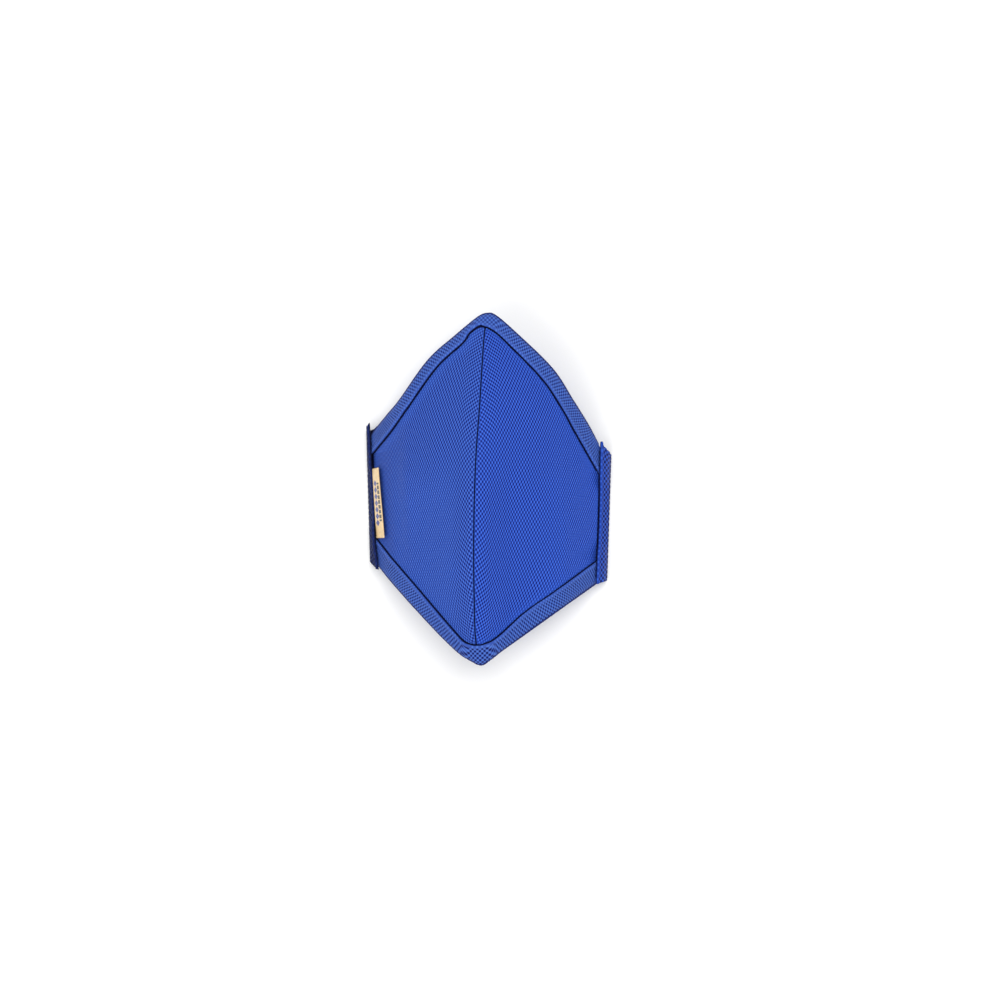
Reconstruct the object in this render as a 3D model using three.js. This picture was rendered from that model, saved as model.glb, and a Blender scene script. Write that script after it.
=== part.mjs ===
// Child respirator mask: two cloth panels joined along a raised centre seam, bound along the
// nose and chin edges with folded tape, with a folded tape casing down each cheek edge that
// leaves an open channel for the ear elastic, and a folded cloth label on the left panel.
// The mask lies front side up on its two cheek casings.
// Units are millimetres. +X is to the right, +Y towards the nose, +Z out of the mask's front.

import * as THREE from 'three';

// ---- Driving dimensions ------------------------------------------------------------------
const RIDGE_HEIGHT = 52;      // mid-surface height of the seam above the cheek folds
const PANEL_WALL = 1.6;       // cloth layers of a panel, outside to inside
const TAPE_PLY = 1.0;         // one ply of the folded binding tape
const CLOTH_GAP = 0.3;        // air between two cloth pieces that lie on each other
const TAPE_GAP = 0.4;         // air between a panel and the plies of the tape round its edge
const TAPE_EDGE_DEPTH = 2.2;  // outer fold of a binding to the panel edge inside it
const CASING_EDGE_DEPTH = 3.6; // outer fold of a casing to the panel edge inside it
const LABEL_PLY = 1.0;        // label, both layers of its folded tab
const LABEL_LIFT = 0.5;       // how far the label's free edge stands off the panel
const BLEND_REACH = 10;       // the upper and lower sections blend this far each side of y = 0
const CENTRE_SHIFT_Y = 0.28;  // brings the middle of the whole outline over the origin

// Centre seam from chin to nose: drop below the ridge's top, and sideways place.
const SEAM = [
  { y: -68, drop: 18.6, x: 1.2 },
  { y: -58, drop: 12.5, x: 0.2 },
  { y: -42, drop: 5.0, x: 0.5 },
  { y: -25, drop: 1.0, x: 0.8 },
  { y: -8, drop: 0.0, x: 1.1 },
  { y: 10, drop: 0.8, x: 1.6 },
  { y: 30, drop: 5.0, x: 2.5 },
  { y: 45, drop: 10.5, x: 2.7 },
  { y: 58, drop: 17.0, x: 2.8 },
  { y: 68, drop: 22.6, x: 3.4 },
];

// Cross-section of each panel: drop below the seam at a distance across, on a half width of 48.
const HALF_WIDTH = 48;
const SECTION = [
  { across: 0, leftUpper: 0.0, leftLower: 0.0, rightUpper: 0.0, rightLower: 0.0 },
  { across: 3, leftUpper: 0.6, leftLower: 0.9, rightUpper: 0.8, rightLower: 1.1 },
  { across: 7, leftUpper: 2.8, leftLower: 4.0, rightUpper: 3.4, rightLower: 5.5 },
  { across: 12, leftUpper: 6.1, leftLower: 8.7, rightUpper: 7.3, rightLower: 11.2 },
  { across: 18, leftUpper: 10.5, leftLower: 14.1, rightUpper: 12.2, rightLower: 15.5 },
  { across: 24, leftUpper: 15.6, leftLower: 19.4, rightUpper: 18.1, rightLower: 19.0 },
  { across: 30, leftUpper: 22.1, leftLower: 25.1, rightUpper: 24.9, rightLower: 24.0 },
  { across: 36, leftUpper: 30.5, leftLower: 32.2, rightUpper: 32.7, rightLower: 31.7 },
  { across: 42, leftUpper: 40.7, leftLower: 41.4, rightUpper: 41.8, rightLower: 41.3 },
  { across: 48, leftUpper: 52.0, leftLower: 52.0, rightUpper: 52.0, rightLower: 52.0 },
];

// Where the cheek folds touch the ground.
const CHEEK_FOLD = [
  { y: -40, left: -46.3, right: 46.3 },
  { y: 30, left: -48.5, right: 48.8 },
];

// Soft folds and dents: centre, heading from +Y towards +X, half length, half width, lift.
const FOLDS = [
  { name: 'left long fold', x: -27, y: -2, heading: -3, length: 26, width: 2.6, lift: 0.55 },
  { name: 'left long hollow', x: -31.5, y: -4, heading: -3, length: 22, width: 2.6, lift: -0.5 },
  { name: 'left lower swell', x: -11, y: -36, heading: 4, length: 16, width: 5.5, lift: 0.7 },
  { name: 'right slanting crease', x: 13, y: 3, heading: 24, length: 13, width: 3.2, lift: -0.7 },
  { name: 'right lower fold', x: 33, y: -22, heading: 3, length: 15, width: 2.6, lift: 0.55 },
  { name: 'right upper swell', x: 12, y: 34, heading: 14, length: 16, width: 5, lift: 0.5 },
];

// Binding tapes in plan: the outer fold (x, y) and the sewn inner edge (inX, inY).
const TOP_TAPE = [
  { x: -44.7, y: 23.4, inX: -44.3, inY: 14.6 },
  { x: -37.8, y: 28.7, inX: -34.9, inY: 21.9 },
  { x: -30.4, y: 35.2, inX: -26.4, inY: 31.2 },
  { x: -18.8, y: 49.5, inX: -14.7, inY: 46.0 },
  { x: -8.9, y: 57.8, inX: -5.4, inY: 54.1 },
  { x: -4.8, y: 61.2, inX: -2.5, inY: 58.2 },
  { x: 0.6, y: 65.4, inX: 0.9, inY: 60.8 },
  { x: 3.4, y: 66.3, inX: 2.9, inY: 60.4 },
  { x: 6.2, y: 65.6, inX: 5.0, inY: 59.4 },
  { x: 13.1, y: 59.7, inX: 9.3, inY: 55.8 },
  { x: 27.3, y: 45.8, inX: 23.1, inY: 41.6 },
  { x: 34.8, y: 34.1, inX: 30.1, inY: 31.3 },
  { x: 40.2, y: 25.1, inX: 35.7, inY: 20.8 },
  { x: 43.3, y: 19.0, inX: 43.1, inY: 7.0 },
];
const TOP_TIP_ROW = 7;
const BOTTOM_TAPE = [
  { x: -41.2, y: -30.8, inX: -42.2, inY: -19.5 },
  { x: -32.7, y: -38.4, inX: -28.0, inY: -32.9 },
  { x: -24.0, y: -46.7, inX: -18.7, inY: -42.4 },
  { x: -14.3, y: -56.1, inX: -10.1, inY: -51.5 },
  { x: -6.8, y: -62.6, inX: -4.5, inY: -57.3 },
  { x: -2.2, y: -65.3, inX: -1.3, inY: -58.7 },
  { x: 1.3, y: -66.9, inX: 0.5, inY: -58.9 },
  { x: 4.0, y: -65.5, inX: 2.7, inY: -58.6 },
  { x: 9.2, y: -61.3, inX: 6.9, inY: -56.3 },
  { x: 20.4, y: -53.3, inX: 16.5, inY: -47.6 },
  { x: 32.6, y: -44.4, inX: 28.5, inY: -39.0 },
  { x: 41.9, y: -37.4, inX: 42.1, inY: -28.2 },
];
const BOTTOM_TIP_ROW = 6;

// Casings: y of the outer fold, y of the inner edge, and plan width between them.
const LEFT_CASING = [
  { y: 24.0, inY: 26.0, width: 3.0 },
  { y: 19.0, inY: 19.0, width: 3.2 },
  { y: 0.0, inY: 0.0, width: 3.8 },
  { y: -19.5, inY: -19.5, width: 4.2 },
  { y: -27.2, inY: -31.2, width: 4.8 },
];
const RIGHT_CASING = [
  { y: 13.8, inY: 18.0, width: 4.2 },
  { y: 8.0, inY: 8.0, width: 4.0 },
  { y: -12.0, inY: -12.0, width: 3.8 },
  { y: -28.0, inY: -28.0, width: 3.9 },
  { y: -35.4, inY: -36.8, width: 4.0 },
];

// Label in plan: sewn edge at the casing, free edge on the panel.
const LABEL = [
  { y: 9.2, sewnX: -44.3, freeX: -40.0 },
  { y: -18.8, sewnX: -42.2, freeX: -37.4 },
];

// Mesh steps
const PANEL_STEPS_ACROSS = 20;
const PANEL_STEPS_ALONG = 24;
const TAPE_STEPS_PER_ROW = 4;
const FOLD_ARC_STEPS = 5;
const CREST_CROWDING = 1.35;  // above 1, panel columns gather at the curved seam side
const NORMAL_STEP = 0.05;     // distance used to measure the surface's slope

// ---- Tables and curves -------------------------------------------------------------------

// Smooth curve through a table's column: a cubic between rows, sloped by its neighbours.
function column(table, key, name, at, levelStart = false) {
  const last = table.length - 1;
  let row = 0;
  while (row < last - 1 && at > table[row + 1][key]) row += 1;
  const secant = (i) => (table[i + 1][name] - table[i][name]) / (table[i + 1][key] - table[i][key]);
  const slope = (i) => {
    if (i === 0) return levelStart ? 0 : secant(0);
    if (i === last) return secant(last - 1);
    const before = table[i][key] - table[i - 1][key];
    const after = table[i + 1][key] - table[i][key];
    return (after * secant(i - 1) + before * secant(i)) / (before + after);
  };
  const span = table[row + 1][key] - table[row][key];
  const t = (at - table[row][key]) / span;
  const t2 = t * t;
  const t3 = t2 * t;
  return table[row][name] * (2 * t3 - 3 * t2 + 1)
    + table[row + 1][name] * (3 * t2 - 2 * t3)
    + span * (slope(row) * (t3 - 2 * t2 + t) + slope(row + 1) * (t3 - t2));
}

// The same curve where rows are simply numbered 0, 1, 2 ...
function numbered(table, name, at) {
  const rows = table.map((row, index) => ({ index, value: row[name] }));
  return column(rows, 'index', 'value', at);
}

// ---- The mask's mid-surface --------------------------------------------------------------

const seamX = (y) => column(SEAM, 'y', 'x', y);
const foldX = (side, y) => column(CHEEK_FOLD, 'y', side, y);

function foldLift(x, y) {
  let lift = 0;
  for (const fold of FOLDS) {
    const turn = THREE.MathUtils.degToRad(fold.heading);
    const dx = x - fold.x;
    const dy = y - fold.y;
    const along = (dx * Math.sin(turn) + dy * Math.cos(turn)) / fold.length;
    const across = (dx * Math.cos(turn) - dy * Math.sin(turn)) / fold.width;
    lift += fold.lift * Math.exp(-along * along - across * across);
  }
  return lift;
}

// Height over (x, y): the ridge, less the section's drop, less the seam's drop fading outwards.
function height(x, y) {
  const side = x < seamX(y) ? 'left' : 'right';
  const share = Math.min((x - seamX(y)) / (foldX(side, y) - seamX(y)), 1.05);
  const upper = THREE.MathUtils.smoothstep(y, -BLEND_REACH, BLEND_REACH);
  const dropUpper = column(SECTION, 'across', side + 'Upper', share * HALF_WIDTH, true);
  const dropLower = column(SECTION, 'across', side + 'Lower', share * HALF_WIDTH, true);
  const seamDrop = column(SEAM, 'y', 'drop', y) * (1 - share * share);
  const sectionDrop = THREE.MathUtils.lerp(dropLower, dropUpper, upper);
  return RIDGE_HEIGHT - sectionDrop - seamDrop + foldLift(x, y);
}

// Point over (x, y), moved off the mid-surface along its normal (outwards is positive).
function surface(x, y, off = 0) {
  const slopeX = (height(x + NORMAL_STEP, y) - height(x - NORMAL_STEP, y)) / (2 * NORMAL_STEP);
  const slopeY = (height(x, y + NORMAL_STEP) - height(x, y - NORMAL_STEP)) / (2 * NORMAL_STEP);
  const normal = new THREE.Vector3(-slopeX, -slopeY, 1).normalize();
  return new THREE.Vector3(x, y, height(x, y)).addScaledVector(normal, off);
}

// ---- Closed solids -----------------------------------------------------------------------

function solid(name, points, triangles, material) {
  const geometry = new THREE.BufferGeometry();
  const position = points.flatMap((point) => [point.x, point.y, point.z]);
  geometry.setAttribute('position', new THREE.Float32BufferAttribute(position, 3));
  geometry.setIndex(facingOut(points, triangles).flat());
  geometry.computeVertexNormals();
  const mesh = new THREE.Mesh(geometry, material);
  mesh.name = name;
  return mesh;
}

// Turns every triangle over when the closed surface's signed volume is negative.
function facingOut(points, triangles) {
  let volume = 0;
  const cross = new THREE.Vector3();
  for (const [a, b, c] of triangles) {
    volume += points[a].dot(cross.crossVectors(points[b], points[c]));
  }
  return volume > 0 ? triangles : triangles.map(([a, b, c]) => [a, c, b]);
}

// A cloth layer: a grid of points on its outer face, another on its inner face, and its rim.
function layer(name, stepsU, stepsV, point, material) {
  const points = [];
  const triangles = [];
  const index = (face, i, j) => (face * (stepsU + 1) + i) * (stepsV + 1) + j;
  const quad = (a, b, c, d) => triangles.push([a, b, c], [a, c, d]);
  for (const face of [0, 1]) {
    for (let i = 0; i <= stepsU; i += 1) {
      for (let j = 0; j <= stepsV; j += 1) points.push(point(i / stepsU, j / stepsV, face));
    }
  }
  for (let i = 0; i < stepsU; i += 1) {
    for (let j = 0; j < stepsV; j += 1) {
      quad(index(0, i, j), index(0, i + 1, j), index(0, i + 1, j + 1), index(0, i, j + 1));
      quad(index(1, i, j), index(1, i, j + 1), index(1, i + 1, j + 1), index(1, i + 1, j));
    }
  }
  for (let i = 0; i < stepsU; i += 1) {
    quad(index(0, i, 0), index(1, i, 0), index(1, i + 1, 0), index(0, i + 1, 0));
    quad(index(0, i, stepsV), index(0, i + 1, stepsV), index(1, i + 1, stepsV), index(1, i, stepsV));
  }
  for (let j = 0; j < stepsV; j += 1) {
    quad(index(0, 0, j), index(0, 0, j + 1), index(1, 0, j + 1), index(1, 0, j));
    quad(index(0, stepsU, j), index(1, stepsU, j), index(1, stepsU, j + 1), index(0, stepsU, j + 1));
  }
  return solid(name, points, triangles, material);
}

// Half outline of a folded tape: depth from the outer fold, and distance off the mid-surface.
function foldedSection(width) {
  const inside = PANEL_WALL / 2 + TAPE_GAP;
  const outside = inside + TAPE_PLY;
  const arc = (radius, from, to) => {
    const points = [];
    for (let step = 0; step <= FOLD_ARC_STEPS; step += 1) {
      const angle = THREE.MathUtils.lerp(from, to, step / FOLD_ARC_STEPS);
      points.push(new THREE.Vector2(outside - radius * Math.cos(angle), radius * Math.sin(angle)));
    }
    return points;
  };
  const quarter = Math.PI / 2;
  return [
    new THREE.Vector2(width, outside),
    new THREE.Vector2((width + outside) / 2, outside),
    ...arc(outside, quarter, -quarter),
    new THREE.Vector2((width + outside) / 2, -outside),
    new THREE.Vector2(width, -outside),
    new THREE.Vector2(width, -inside),
    new THREE.Vector2((width + outside) / 2, -inside),
    ...arc(inside, -quarter, quarter),
    new THREE.Vector2((width + outside) / 2, inside),
    new THREE.Vector2(width, inside),
  ];
}

// Plan position on a tape: 0 is its outer fold and 1 its inner edge.
function tapePlan(rows, at, share) {
  const x = THREE.MathUtils.lerp(numbered(rows, 'x', at), numbered(rows, 'inX', at), share);
  const y = THREE.MathUtils.lerp(numbered(rows, 'y', at), numbered(rows, 'inY', at), share);
  return new THREE.Vector2(x, y);
}

// Width of a tape on the surface, from its outer fold to its inner edge.
function tapeWidth(rows, at) {
  const fold = tapePlan(rows, at, 0);
  const edge = tapePlan(rows, at, 1);
  return surface(fold.x, fold.y).distanceTo(surface(edge.x, edge.y));
}

// A tape folded round a cloth edge: its section carried along the table's rows.
function foldedTape(name, rows, material) {
  const steps = (rows.length - 1) * TAPE_STEPS_PER_ROW;
  const points = [];
  const triangles = [];
  let count = 0;
  for (let step = 0; step <= steps; step += 1) {
    const at = step / TAPE_STEPS_PER_ROW;
    const width = tapeWidth(rows, at);
    const section = foldedSection(width);
    count = section.length;
    for (const corner of section) {
      const plan = tapePlan(rows, at, corner.x / width);
      const point = surface(plan.x, plan.y, corner.y);
      point.z = Math.max(point.z, 0);   // pressed flat where it rests on the ground
      points.push(point);
    }
  }
  for (let step = 0; step < steps; step += 1) {
    for (let k = 0; k < count; k += 1) {
      const a = step * count + k;
      const b = step * count + (k + 1) % count;
      triangles.push([a, b, b + count], [a, b + count, a + count]);
    }
  }
  const cap = THREE.ShapeUtils.triangulateShape(foldedSection(tapeWidth(rows, 0)), []);
  const clockwise = THREE.ShapeUtils.isClockWise(foldedSection(tapeWidth(rows, 0)));
  const end = steps * count;
  for (const [a, b, c] of cap) {
    const [p, q] = clockwise ? [c, b] : [b, c];
    triangles.push([a, q, p], [end + a, end + p, end + q]);
  }
  return solid(name, points, triangles, material);
}

// ---- The pieces --------------------------------------------------------------------------

// Casing rows in the same form as the binding tables.
function casingRows(side, rows) {
  const inward = side === 'left' ? 1 : -1;
  return rows.map((row) => ({
    x: foldX(side, row.y),
    y: row.y,
    inX: foldX(side, row.inY) + inward * row.width,
    inY: row.inY,
  }));
}

// Panel edge inside the folded tapes, from the seam (0) to the corner in the casing (1).
function panelEdge(side, rows, tipRow, cornerY) {
  const inward = side === 'left' ? 1 : -1;
  const lastRow = side === 'left' ? 0 : rows.length - 1;
  const cheekSlope = 62;
  const inset = CASING_EDGE_DEPTH * Math.cos(THREE.MathUtils.degToRad(cheekSlope));
  const corner = new THREE.Vector2(foldX(side, cornerY) + inward * inset, cornerY);
  const tapeShare = 0.94;
  return (u) => {
    const at = THREE.MathUtils.lerp(tipRow, lastRow, Math.min(u / tapeShare, 1));
    const onTape = tapePlan(rows, at, TAPE_EDGE_DEPTH / tapeWidth(rows, at));
    const past = Math.max(u - tapeShare, 0) / (1 - tapeShare);
    return onTape.lerp(corner, past);
  };
}

function panel(side, cornerTop, cornerBottom, material) {
  const top = panelEdge(side, TOP_TAPE, TOP_TIP_ROW, cornerTop);
  const bottom = panelEdge(side, BOTTOM_TAPE, BOTTOM_TIP_ROW, cornerBottom);
  const seamGap = (side === 'left' ? -CLOTH_GAP : CLOTH_GAP) / 2;
  const point = (across, along, face) => {
    const u = across ** CREST_CROWDING;
    const plan = bottom(u).lerp(top(u), along);
    const straight = bottom(0).lerp(top(0), along).x;
    plan.x += (seamX(plan.y) + seamGap - straight) * (1 - u) ** 2;
    return surface(plan.x, plan.y, face === 0 ? PANEL_WALL / 2 : -PANEL_WALL / 2);
  };
  return layer('panel_' + side, PANEL_STEPS_ACROSS, PANEL_STEPS_ALONG, point, material);
}

function label(material) {
  const lowest = PANEL_WALL / 2 + CLOTH_GAP;
  const [topRow, bottomRow] = LABEL;
  const point = (across, along, face) => {
    const y = THREE.MathUtils.lerp(bottomRow.y, topRow.y, along);
    const sewn = THREE.MathUtils.lerp(bottomRow.sewnX, topRow.sewnX, along);
    const free = THREE.MathUtils.lerp(bottomRow.freeX, topRow.freeX, along);
    const off = lowest + LABEL_LIFT * across ** 2 + (face === 0 ? LABEL_PLY : 0);
    return surface(THREE.MathUtils.lerp(sewn, free, across), y, off);
  };
  return layer('label', 4, 10, point, material);
}

const cloth = (color, roughness) => new THREE.MeshStandardMaterial({ color, roughness, metalness: 0 });
const blueMesh = () => cloth('#2f55bd', 0.85);
const blueTape = () => cloth('#3559b5', 0.8);
const beigeSatin = () => cloth('#d8bf94', 0.6);

const mask = new THREE.Group();
mask.add(
  panel('left', 23.4, -28.6, blueMesh()),
  panel('right', 14.6, -34.6, blueMesh()),
  foldedTape('top_binding', TOP_TAPE, blueTape()),
  foldedTape('bottom_binding', BOTTOM_TAPE, blueTape()),
  foldedTape('casing_left', casingRows('left', LEFT_CASING), blueTape()),
  foldedTape('casing_right', casingRows('right', RIGHT_CASING), blueTape()),
  label(beigeSatin()),
);

mask.position.y = CENTRE_SHIFT_Y;

export default mask;
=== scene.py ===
"""Child respirator mask: finished cloth pieces, thread, floor, light and camera.

Two halves of knitted mesh cloth meet along a raised centre seam. Folded tape binds the nose
and chin edges, a folded casing runs down each cheek, and a folded ribbon label is sewn in at
the left casing. Every cloth piece is a closed mesh worked out with numpy as a surface of two
parameters, and stands for the plain solid of the same name in the frame.

Lengths are millimetres inside the functions and become metres when a mesh is made.
"""

import bpy
import numpy as np
from mathutils import Matrix, Vector


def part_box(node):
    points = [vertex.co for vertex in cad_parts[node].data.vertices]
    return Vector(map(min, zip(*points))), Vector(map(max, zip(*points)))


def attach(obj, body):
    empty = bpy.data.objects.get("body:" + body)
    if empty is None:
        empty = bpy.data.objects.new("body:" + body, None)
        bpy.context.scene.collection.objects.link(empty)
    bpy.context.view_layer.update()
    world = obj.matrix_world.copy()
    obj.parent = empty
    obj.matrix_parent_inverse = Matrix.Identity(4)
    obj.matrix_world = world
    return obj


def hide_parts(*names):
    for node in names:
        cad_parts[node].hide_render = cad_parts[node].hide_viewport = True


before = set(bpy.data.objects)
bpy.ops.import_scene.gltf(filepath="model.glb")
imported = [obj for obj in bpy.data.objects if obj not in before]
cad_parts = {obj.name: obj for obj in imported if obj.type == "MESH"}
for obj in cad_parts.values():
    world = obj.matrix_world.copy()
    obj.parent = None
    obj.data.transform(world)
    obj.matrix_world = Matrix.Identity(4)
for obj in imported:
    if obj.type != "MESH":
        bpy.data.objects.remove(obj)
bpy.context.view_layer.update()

bl_info = {
    "name": "Child Respirator Mask",
    "version": (1, 0, 0),
    "blender": (4, 5, 0),
    "location": "3D View > Sidebar > Mask",
    "description": "Cloth pieces, stitches and studio for a child's cloth mask",
    "category": "Add Mesh",
}

MM = 0.001
CLOTH_UV = "cloth"            # UV map in millimetres of cloth, read by every weave
EDGE_UV = "edge"              # UV map of (mm to the nearest sewn line, strength of the holes)
FOLD_UV = "fold"              # UV map of (mm round from the fold, 0), on folded tapes

# ---- Sizes and tables of the shape (mm) ----

RIDGE_HEIGHT = 52.0           # mid-surface height of the seam above the cheek folds
PANEL_WALL = 1.6              # cloth layers of a panel
TAPE_PLY = 0.7                # one ply of folded tape, thinner than its solid's
TAPE_GAP = 0.15               # air between a panel and the tape's plies
TAPE_EDGE_DEPTH = 2.8         # outer fold of a binding to the panel edge inside it
CASING_EDGE_DEPTH = 3.6       # outer fold of a casing to the panel edge inside it
LABEL_LIFT = 1.0              # how far the label's free edge stands off the panel
CLOTH_GAP = 0.12              # air between the label and the panel
LABEL_THICKNESS = 0.6         # the label's two plies and the air between them
BLEND_REACH = 10.0            # upper and lower sections blend this far each side of y = 0
HALF_WIDTH = 48.0             # half width that the section table is drawn on
CENTRE_SHIFT_Y = 0.28         # brings the middle of the outline over the origin
NORMAL_STEP = 0.05            # distance used to measure the surface's slope
PAST_CHEEK = 1.05             # the section ends at this share of the way from seam to cheek fold


def table(columns, *rows):
    """A short table with named columns, as a dict of arrays."""
    return dict(zip(columns.split(), np.array(rows, float).T))


# Centre seam from chin to nose: drop below the ridge's top, and sideways place.
SEAM = table(
    "y drop x",
    (-68, 18.6, 1.2), (-58, 12.5, 0.2), (-42, 5.0, 0.5), (-25, 1.0, 0.8), (-8, 0.0, 1.1),
    (10, 0.8, 1.6), (30, 5.0, 2.5), (45, 10.5, 2.7), (58, 17.0, 2.8), (68, 22.6, 3.4))
# Cross-section: drop below the seam at a distance across, on a half width of 48.
SECTION = table(
    "across left_upper left_lower right_upper right_lower",
    (0, 0.0, 0.0, 0.0, 0.0), (3, 0.6, 0.9, 0.8, 1.1), (7, 2.8, 4.0, 3.4, 5.5),
    (12, 6.1, 8.7, 7.3, 11.2), (18, 10.5, 14.1, 12.2, 15.5), (24, 15.6, 19.4, 18.1, 19.0),
    (30, 22.1, 25.1, 24.9, 24.0), (36, 30.5, 32.2, 32.7, 31.7), (42, 40.7, 41.4, 41.8, 41.3),
    (48, 52.0, 52.0, 52.0, 52.0))
# Where the cheek folds touch the ground.
CHEEK_FOLD = table("y left right", (-40, -46.3, 46.3), (30, -48.5, 48.8))
# Soft folds and dents: centre, heading from +Y towards +X, half length, half width, lift.
FOLDS = table(
    "x y heading length width lift",
    (-27, -2, -3, 26, 2.6, 0.55), (-31.5, -4, -3, 22, 2.6, -0.5), (-11, -36, 4, 16, 5.5, 0.7),
    (13, 3, 24, 13, 3.2, -0.7), (33, -22, 3, 15, 2.6, 0.55), (12, 34, 14, 16, 5, 0.5))
# Slighter ones of the same form, that the solids leave out.
RIPPLES = table(
    "x y heading length width lift",
    (10.5, -38, 4, 16, 5.0, 0.55), (-38.5, -21, 6, 12, 3.2, -0.8), (-16, 22, -8, 20, 3.0, 0.35),
    (22, -30, 10, 14, 3.5, -0.4), (24, 18, -20, 14, 3.5, 0.35))
# Binding tapes in plan: outer fold (x, y) and sewn inner edge (in_x, in_y), left to right.
TOP_TAPE = table(
    "x y in_x in_y",
    (-44.7, 23.4, -44.3, 14.6), (-37.8, 28.7, -34.9, 21.9), (-30.4, 35.2, -26.4, 31.2),
    (-18.8, 49.5, -14.7, 46.0), (-8.9, 57.8, -5.4, 54.1), (-4.8, 61.2, -2.5, 58.2),
    (0.6, 65.4, 0.9, 60.8), (3.4, 66.3, 2.9, 60.4), (6.2, 65.6, 5.0, 59.4),
    (13.1, 59.7, 9.3, 55.8), (27.3, 45.8, 23.1, 41.6), (34.8, 34.1, 30.1, 31.3),
    (40.2, 25.1, 35.7, 20.8), (43.3, 19.0, 43.1, 7.0))
BOTTOM_TAPE = table(
    "x y in_x in_y",
    (-41.2, -30.8, -42.2, -19.5), (-32.7, -38.4, -28.0, -32.9), (-24.0, -46.7, -18.7, -42.4),
    (-14.3, -56.1, -10.1, -51.5), (-6.8, -62.6, -4.5, -57.3), (-2.2, -65.3, -1.3, -58.7),
    (1.3, -66.9, 0.5, -58.9), (4.0, -65.5, 2.7, -58.6), (9.2, -61.3, 6.9, -56.3),
    (20.4, -53.3, 16.5, -47.6), (32.6, -44.4, 28.5, -39.0), (41.9, -37.4, 42.1, -28.2))
# Casings: y of the outer fold, y of the inner edge, and plan width between them.
LEFT_CASING = table(
    "y in_y width",
    (24.0, 26.0, 3.0), (19.0, 19.0, 3.2), (0.0, 0.0, 3.8), (-19.5, -19.5, 4.2),
    (-27.2, -31.2, 5.6))
RIGHT_CASING = table(
    "y in_y width",
    (13.8, 18.0, 4.2), (8.0, 8.0, 4.0), (-12.0, -12.0, 3.8), (-28.0, -28.0, 3.9),
    (-35.4, -36.8, 4.0))
# Lean of the cloth's rows across each half.
ROW_LEAN = {"left": 0.031, "right": 0.036}
# Label in plan, from its chin end to its nose end.
LABEL = table("y sewn_x free_x", (-18.8, -42.05, -36.9), (8.7, -44.1, -39.6))

# ---- Cloth and sewing sizes (mm) ----

TABLE_SHARES = 161            # lines from seam to cheek on which the cloth is measured
TABLE_LEVEL_STEP = 0.5        # spacing of the levels on which it is measured
LEVEL_REACH = 70.0            # they run this far each way from y = 0
EDGE_SAMPLES = 80             # points along one half of a tape's edge
WALE_STEPS = 4                # mesh columns in one repeat of the knit
COURSE_STEPS = 6              # mesh rows in one repeat of the knit
BACK_COARSER = 4              # the inner face has this many times fewer columns
HOLE_SLOPE = (0.15, 0.75)     # values of the knit's lattice between which a hole deepens
SEAM_GAP = 0.02               # air between the two halves at the seam
SEAM_ROLL = 0.7               # cloth that turns down into the seam
SEAM_ROLL_DEPTH = 0.9         # and how far down
SEAM_ROLL_COLUMNS = 5
DITCH_DEPTH = 0.30            # how far sewing pulls the panel down along a tape
DITCH_WIDTH = 0.7
DITCH_END = 0.4               # past this distance the panel stays sunk as it is there
WELT_LOW = 0.1                # height of the welt beside the seam at one end
WELT_MORE = 0.35              # how much higher it is at the other
WELT_EASE = 6.0               # the change from low to high, each side of y = 0
WELT_CLEAR = (0.2, 2.2)       # distances from a tape between which the welt begins
WELT_MIDDLE = 1.5             # distance of its crest from the seam
WELT_WIDTH = 1.1
SEAM_CREASE = (0.38, 0.35, 0.8)   # scale of the distance from the seam that draws its painted crease shade and roll, and where it ends
SEAM_CREASE_FADE = 4.0        # added to that distance past its end, so that the painted shade is gone
ROW_PULL = (4.4, 3.0)         # how far sewing drew the rows along the seam at nose and chin
ROW_PULL_LEVELS = (5, 35)     # it starts this far before y = 0 and is full this far past it
ROW_PULL_REACH = (-1.0, 8.0)  # distances from the seam between which it fades
FOLD_SPREAD = 1.9             # depth over which a tape's plies open from fold to full gap
FOLD_OUTSET = 0.45            # how far a fold's roll stands past its line in the tables
END_TUCK = 0.12               # share of a table row that a binding runs on under a casing
TAPE_ROW_STEP = 0.34          # mesh spacing along tapes
TAPE_COLUMNS = 61             # mesh columns over a tape's outer face
TAPE_INNER_COLUMNS = 15
TAPE_SAMPLES = 1200           # points at which a tape's length is measured
LIP_CROWDING = 0.12           # share by which the columns crowd towards the lips
LIP_RADIUS = 0.45             # rounded cut edge of a tape
LIP_ROLL = 0.30               # height of the roll that the sewing leaves beside the lip
LIP_ROLL_PLACE = (0.9, 0.6)   # distance of the roll's crest from the lip, and its width
LIP_HOLES = (0.8, 1.7)        # distances from the lip between which the holes begin
RIPPLE = 0.10                 # slow ripple that the sewing leaves: height,
RIPPLE_PITCH = 7.3            # distance from wave to wave,
RIPPLE_WANDER = (1.2, 11.0)   # how far and how slowly that distance wanders,
RIPPLE_PLACE = (1.6, 1.6)     # and its crest's distance from the lip, and its width
SPIKE_REACH = 1.4             # length along the tape of a frayed corner's spike
BINDING_RISE = 1.15           # how far a casing's plies rise to pass over a binding
RISE_DEPTH = (0.6, 4.2)       # the rise starts and is full at these depths from the fold
RISE_START = 9.5              # distances before a binding's edge at which the rise starts
RISE_END = 2.5                # and is full
TIP_REACH = (2.5, 7.0)        # a binding's knit runs straight across this near to its tip
LABEL_ROWS = 113
LABEL_COLUMNS = 49
LABEL_INNER_COLUMNS = 13
LABEL_BORE = 0.06             # half the air between the label's plies
LABEL_RIM = (0.10, 0.5, 0.35)     # cord of the woven edge: height, distance in, and width
LABEL_WORN = (0.12, 0.0, 0.18)    # its rounding at the very edge: depth, distance and width
LABEL_PUFF = 0.18             # how far the upper ply arches
BACK_OF_LABEL = 99            # moves the printed marks off the label's inner face
STITCH_RINGS = 7              # mesh rings along a stitch
STITCH_SIDES = 8              # and sides round it
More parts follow.
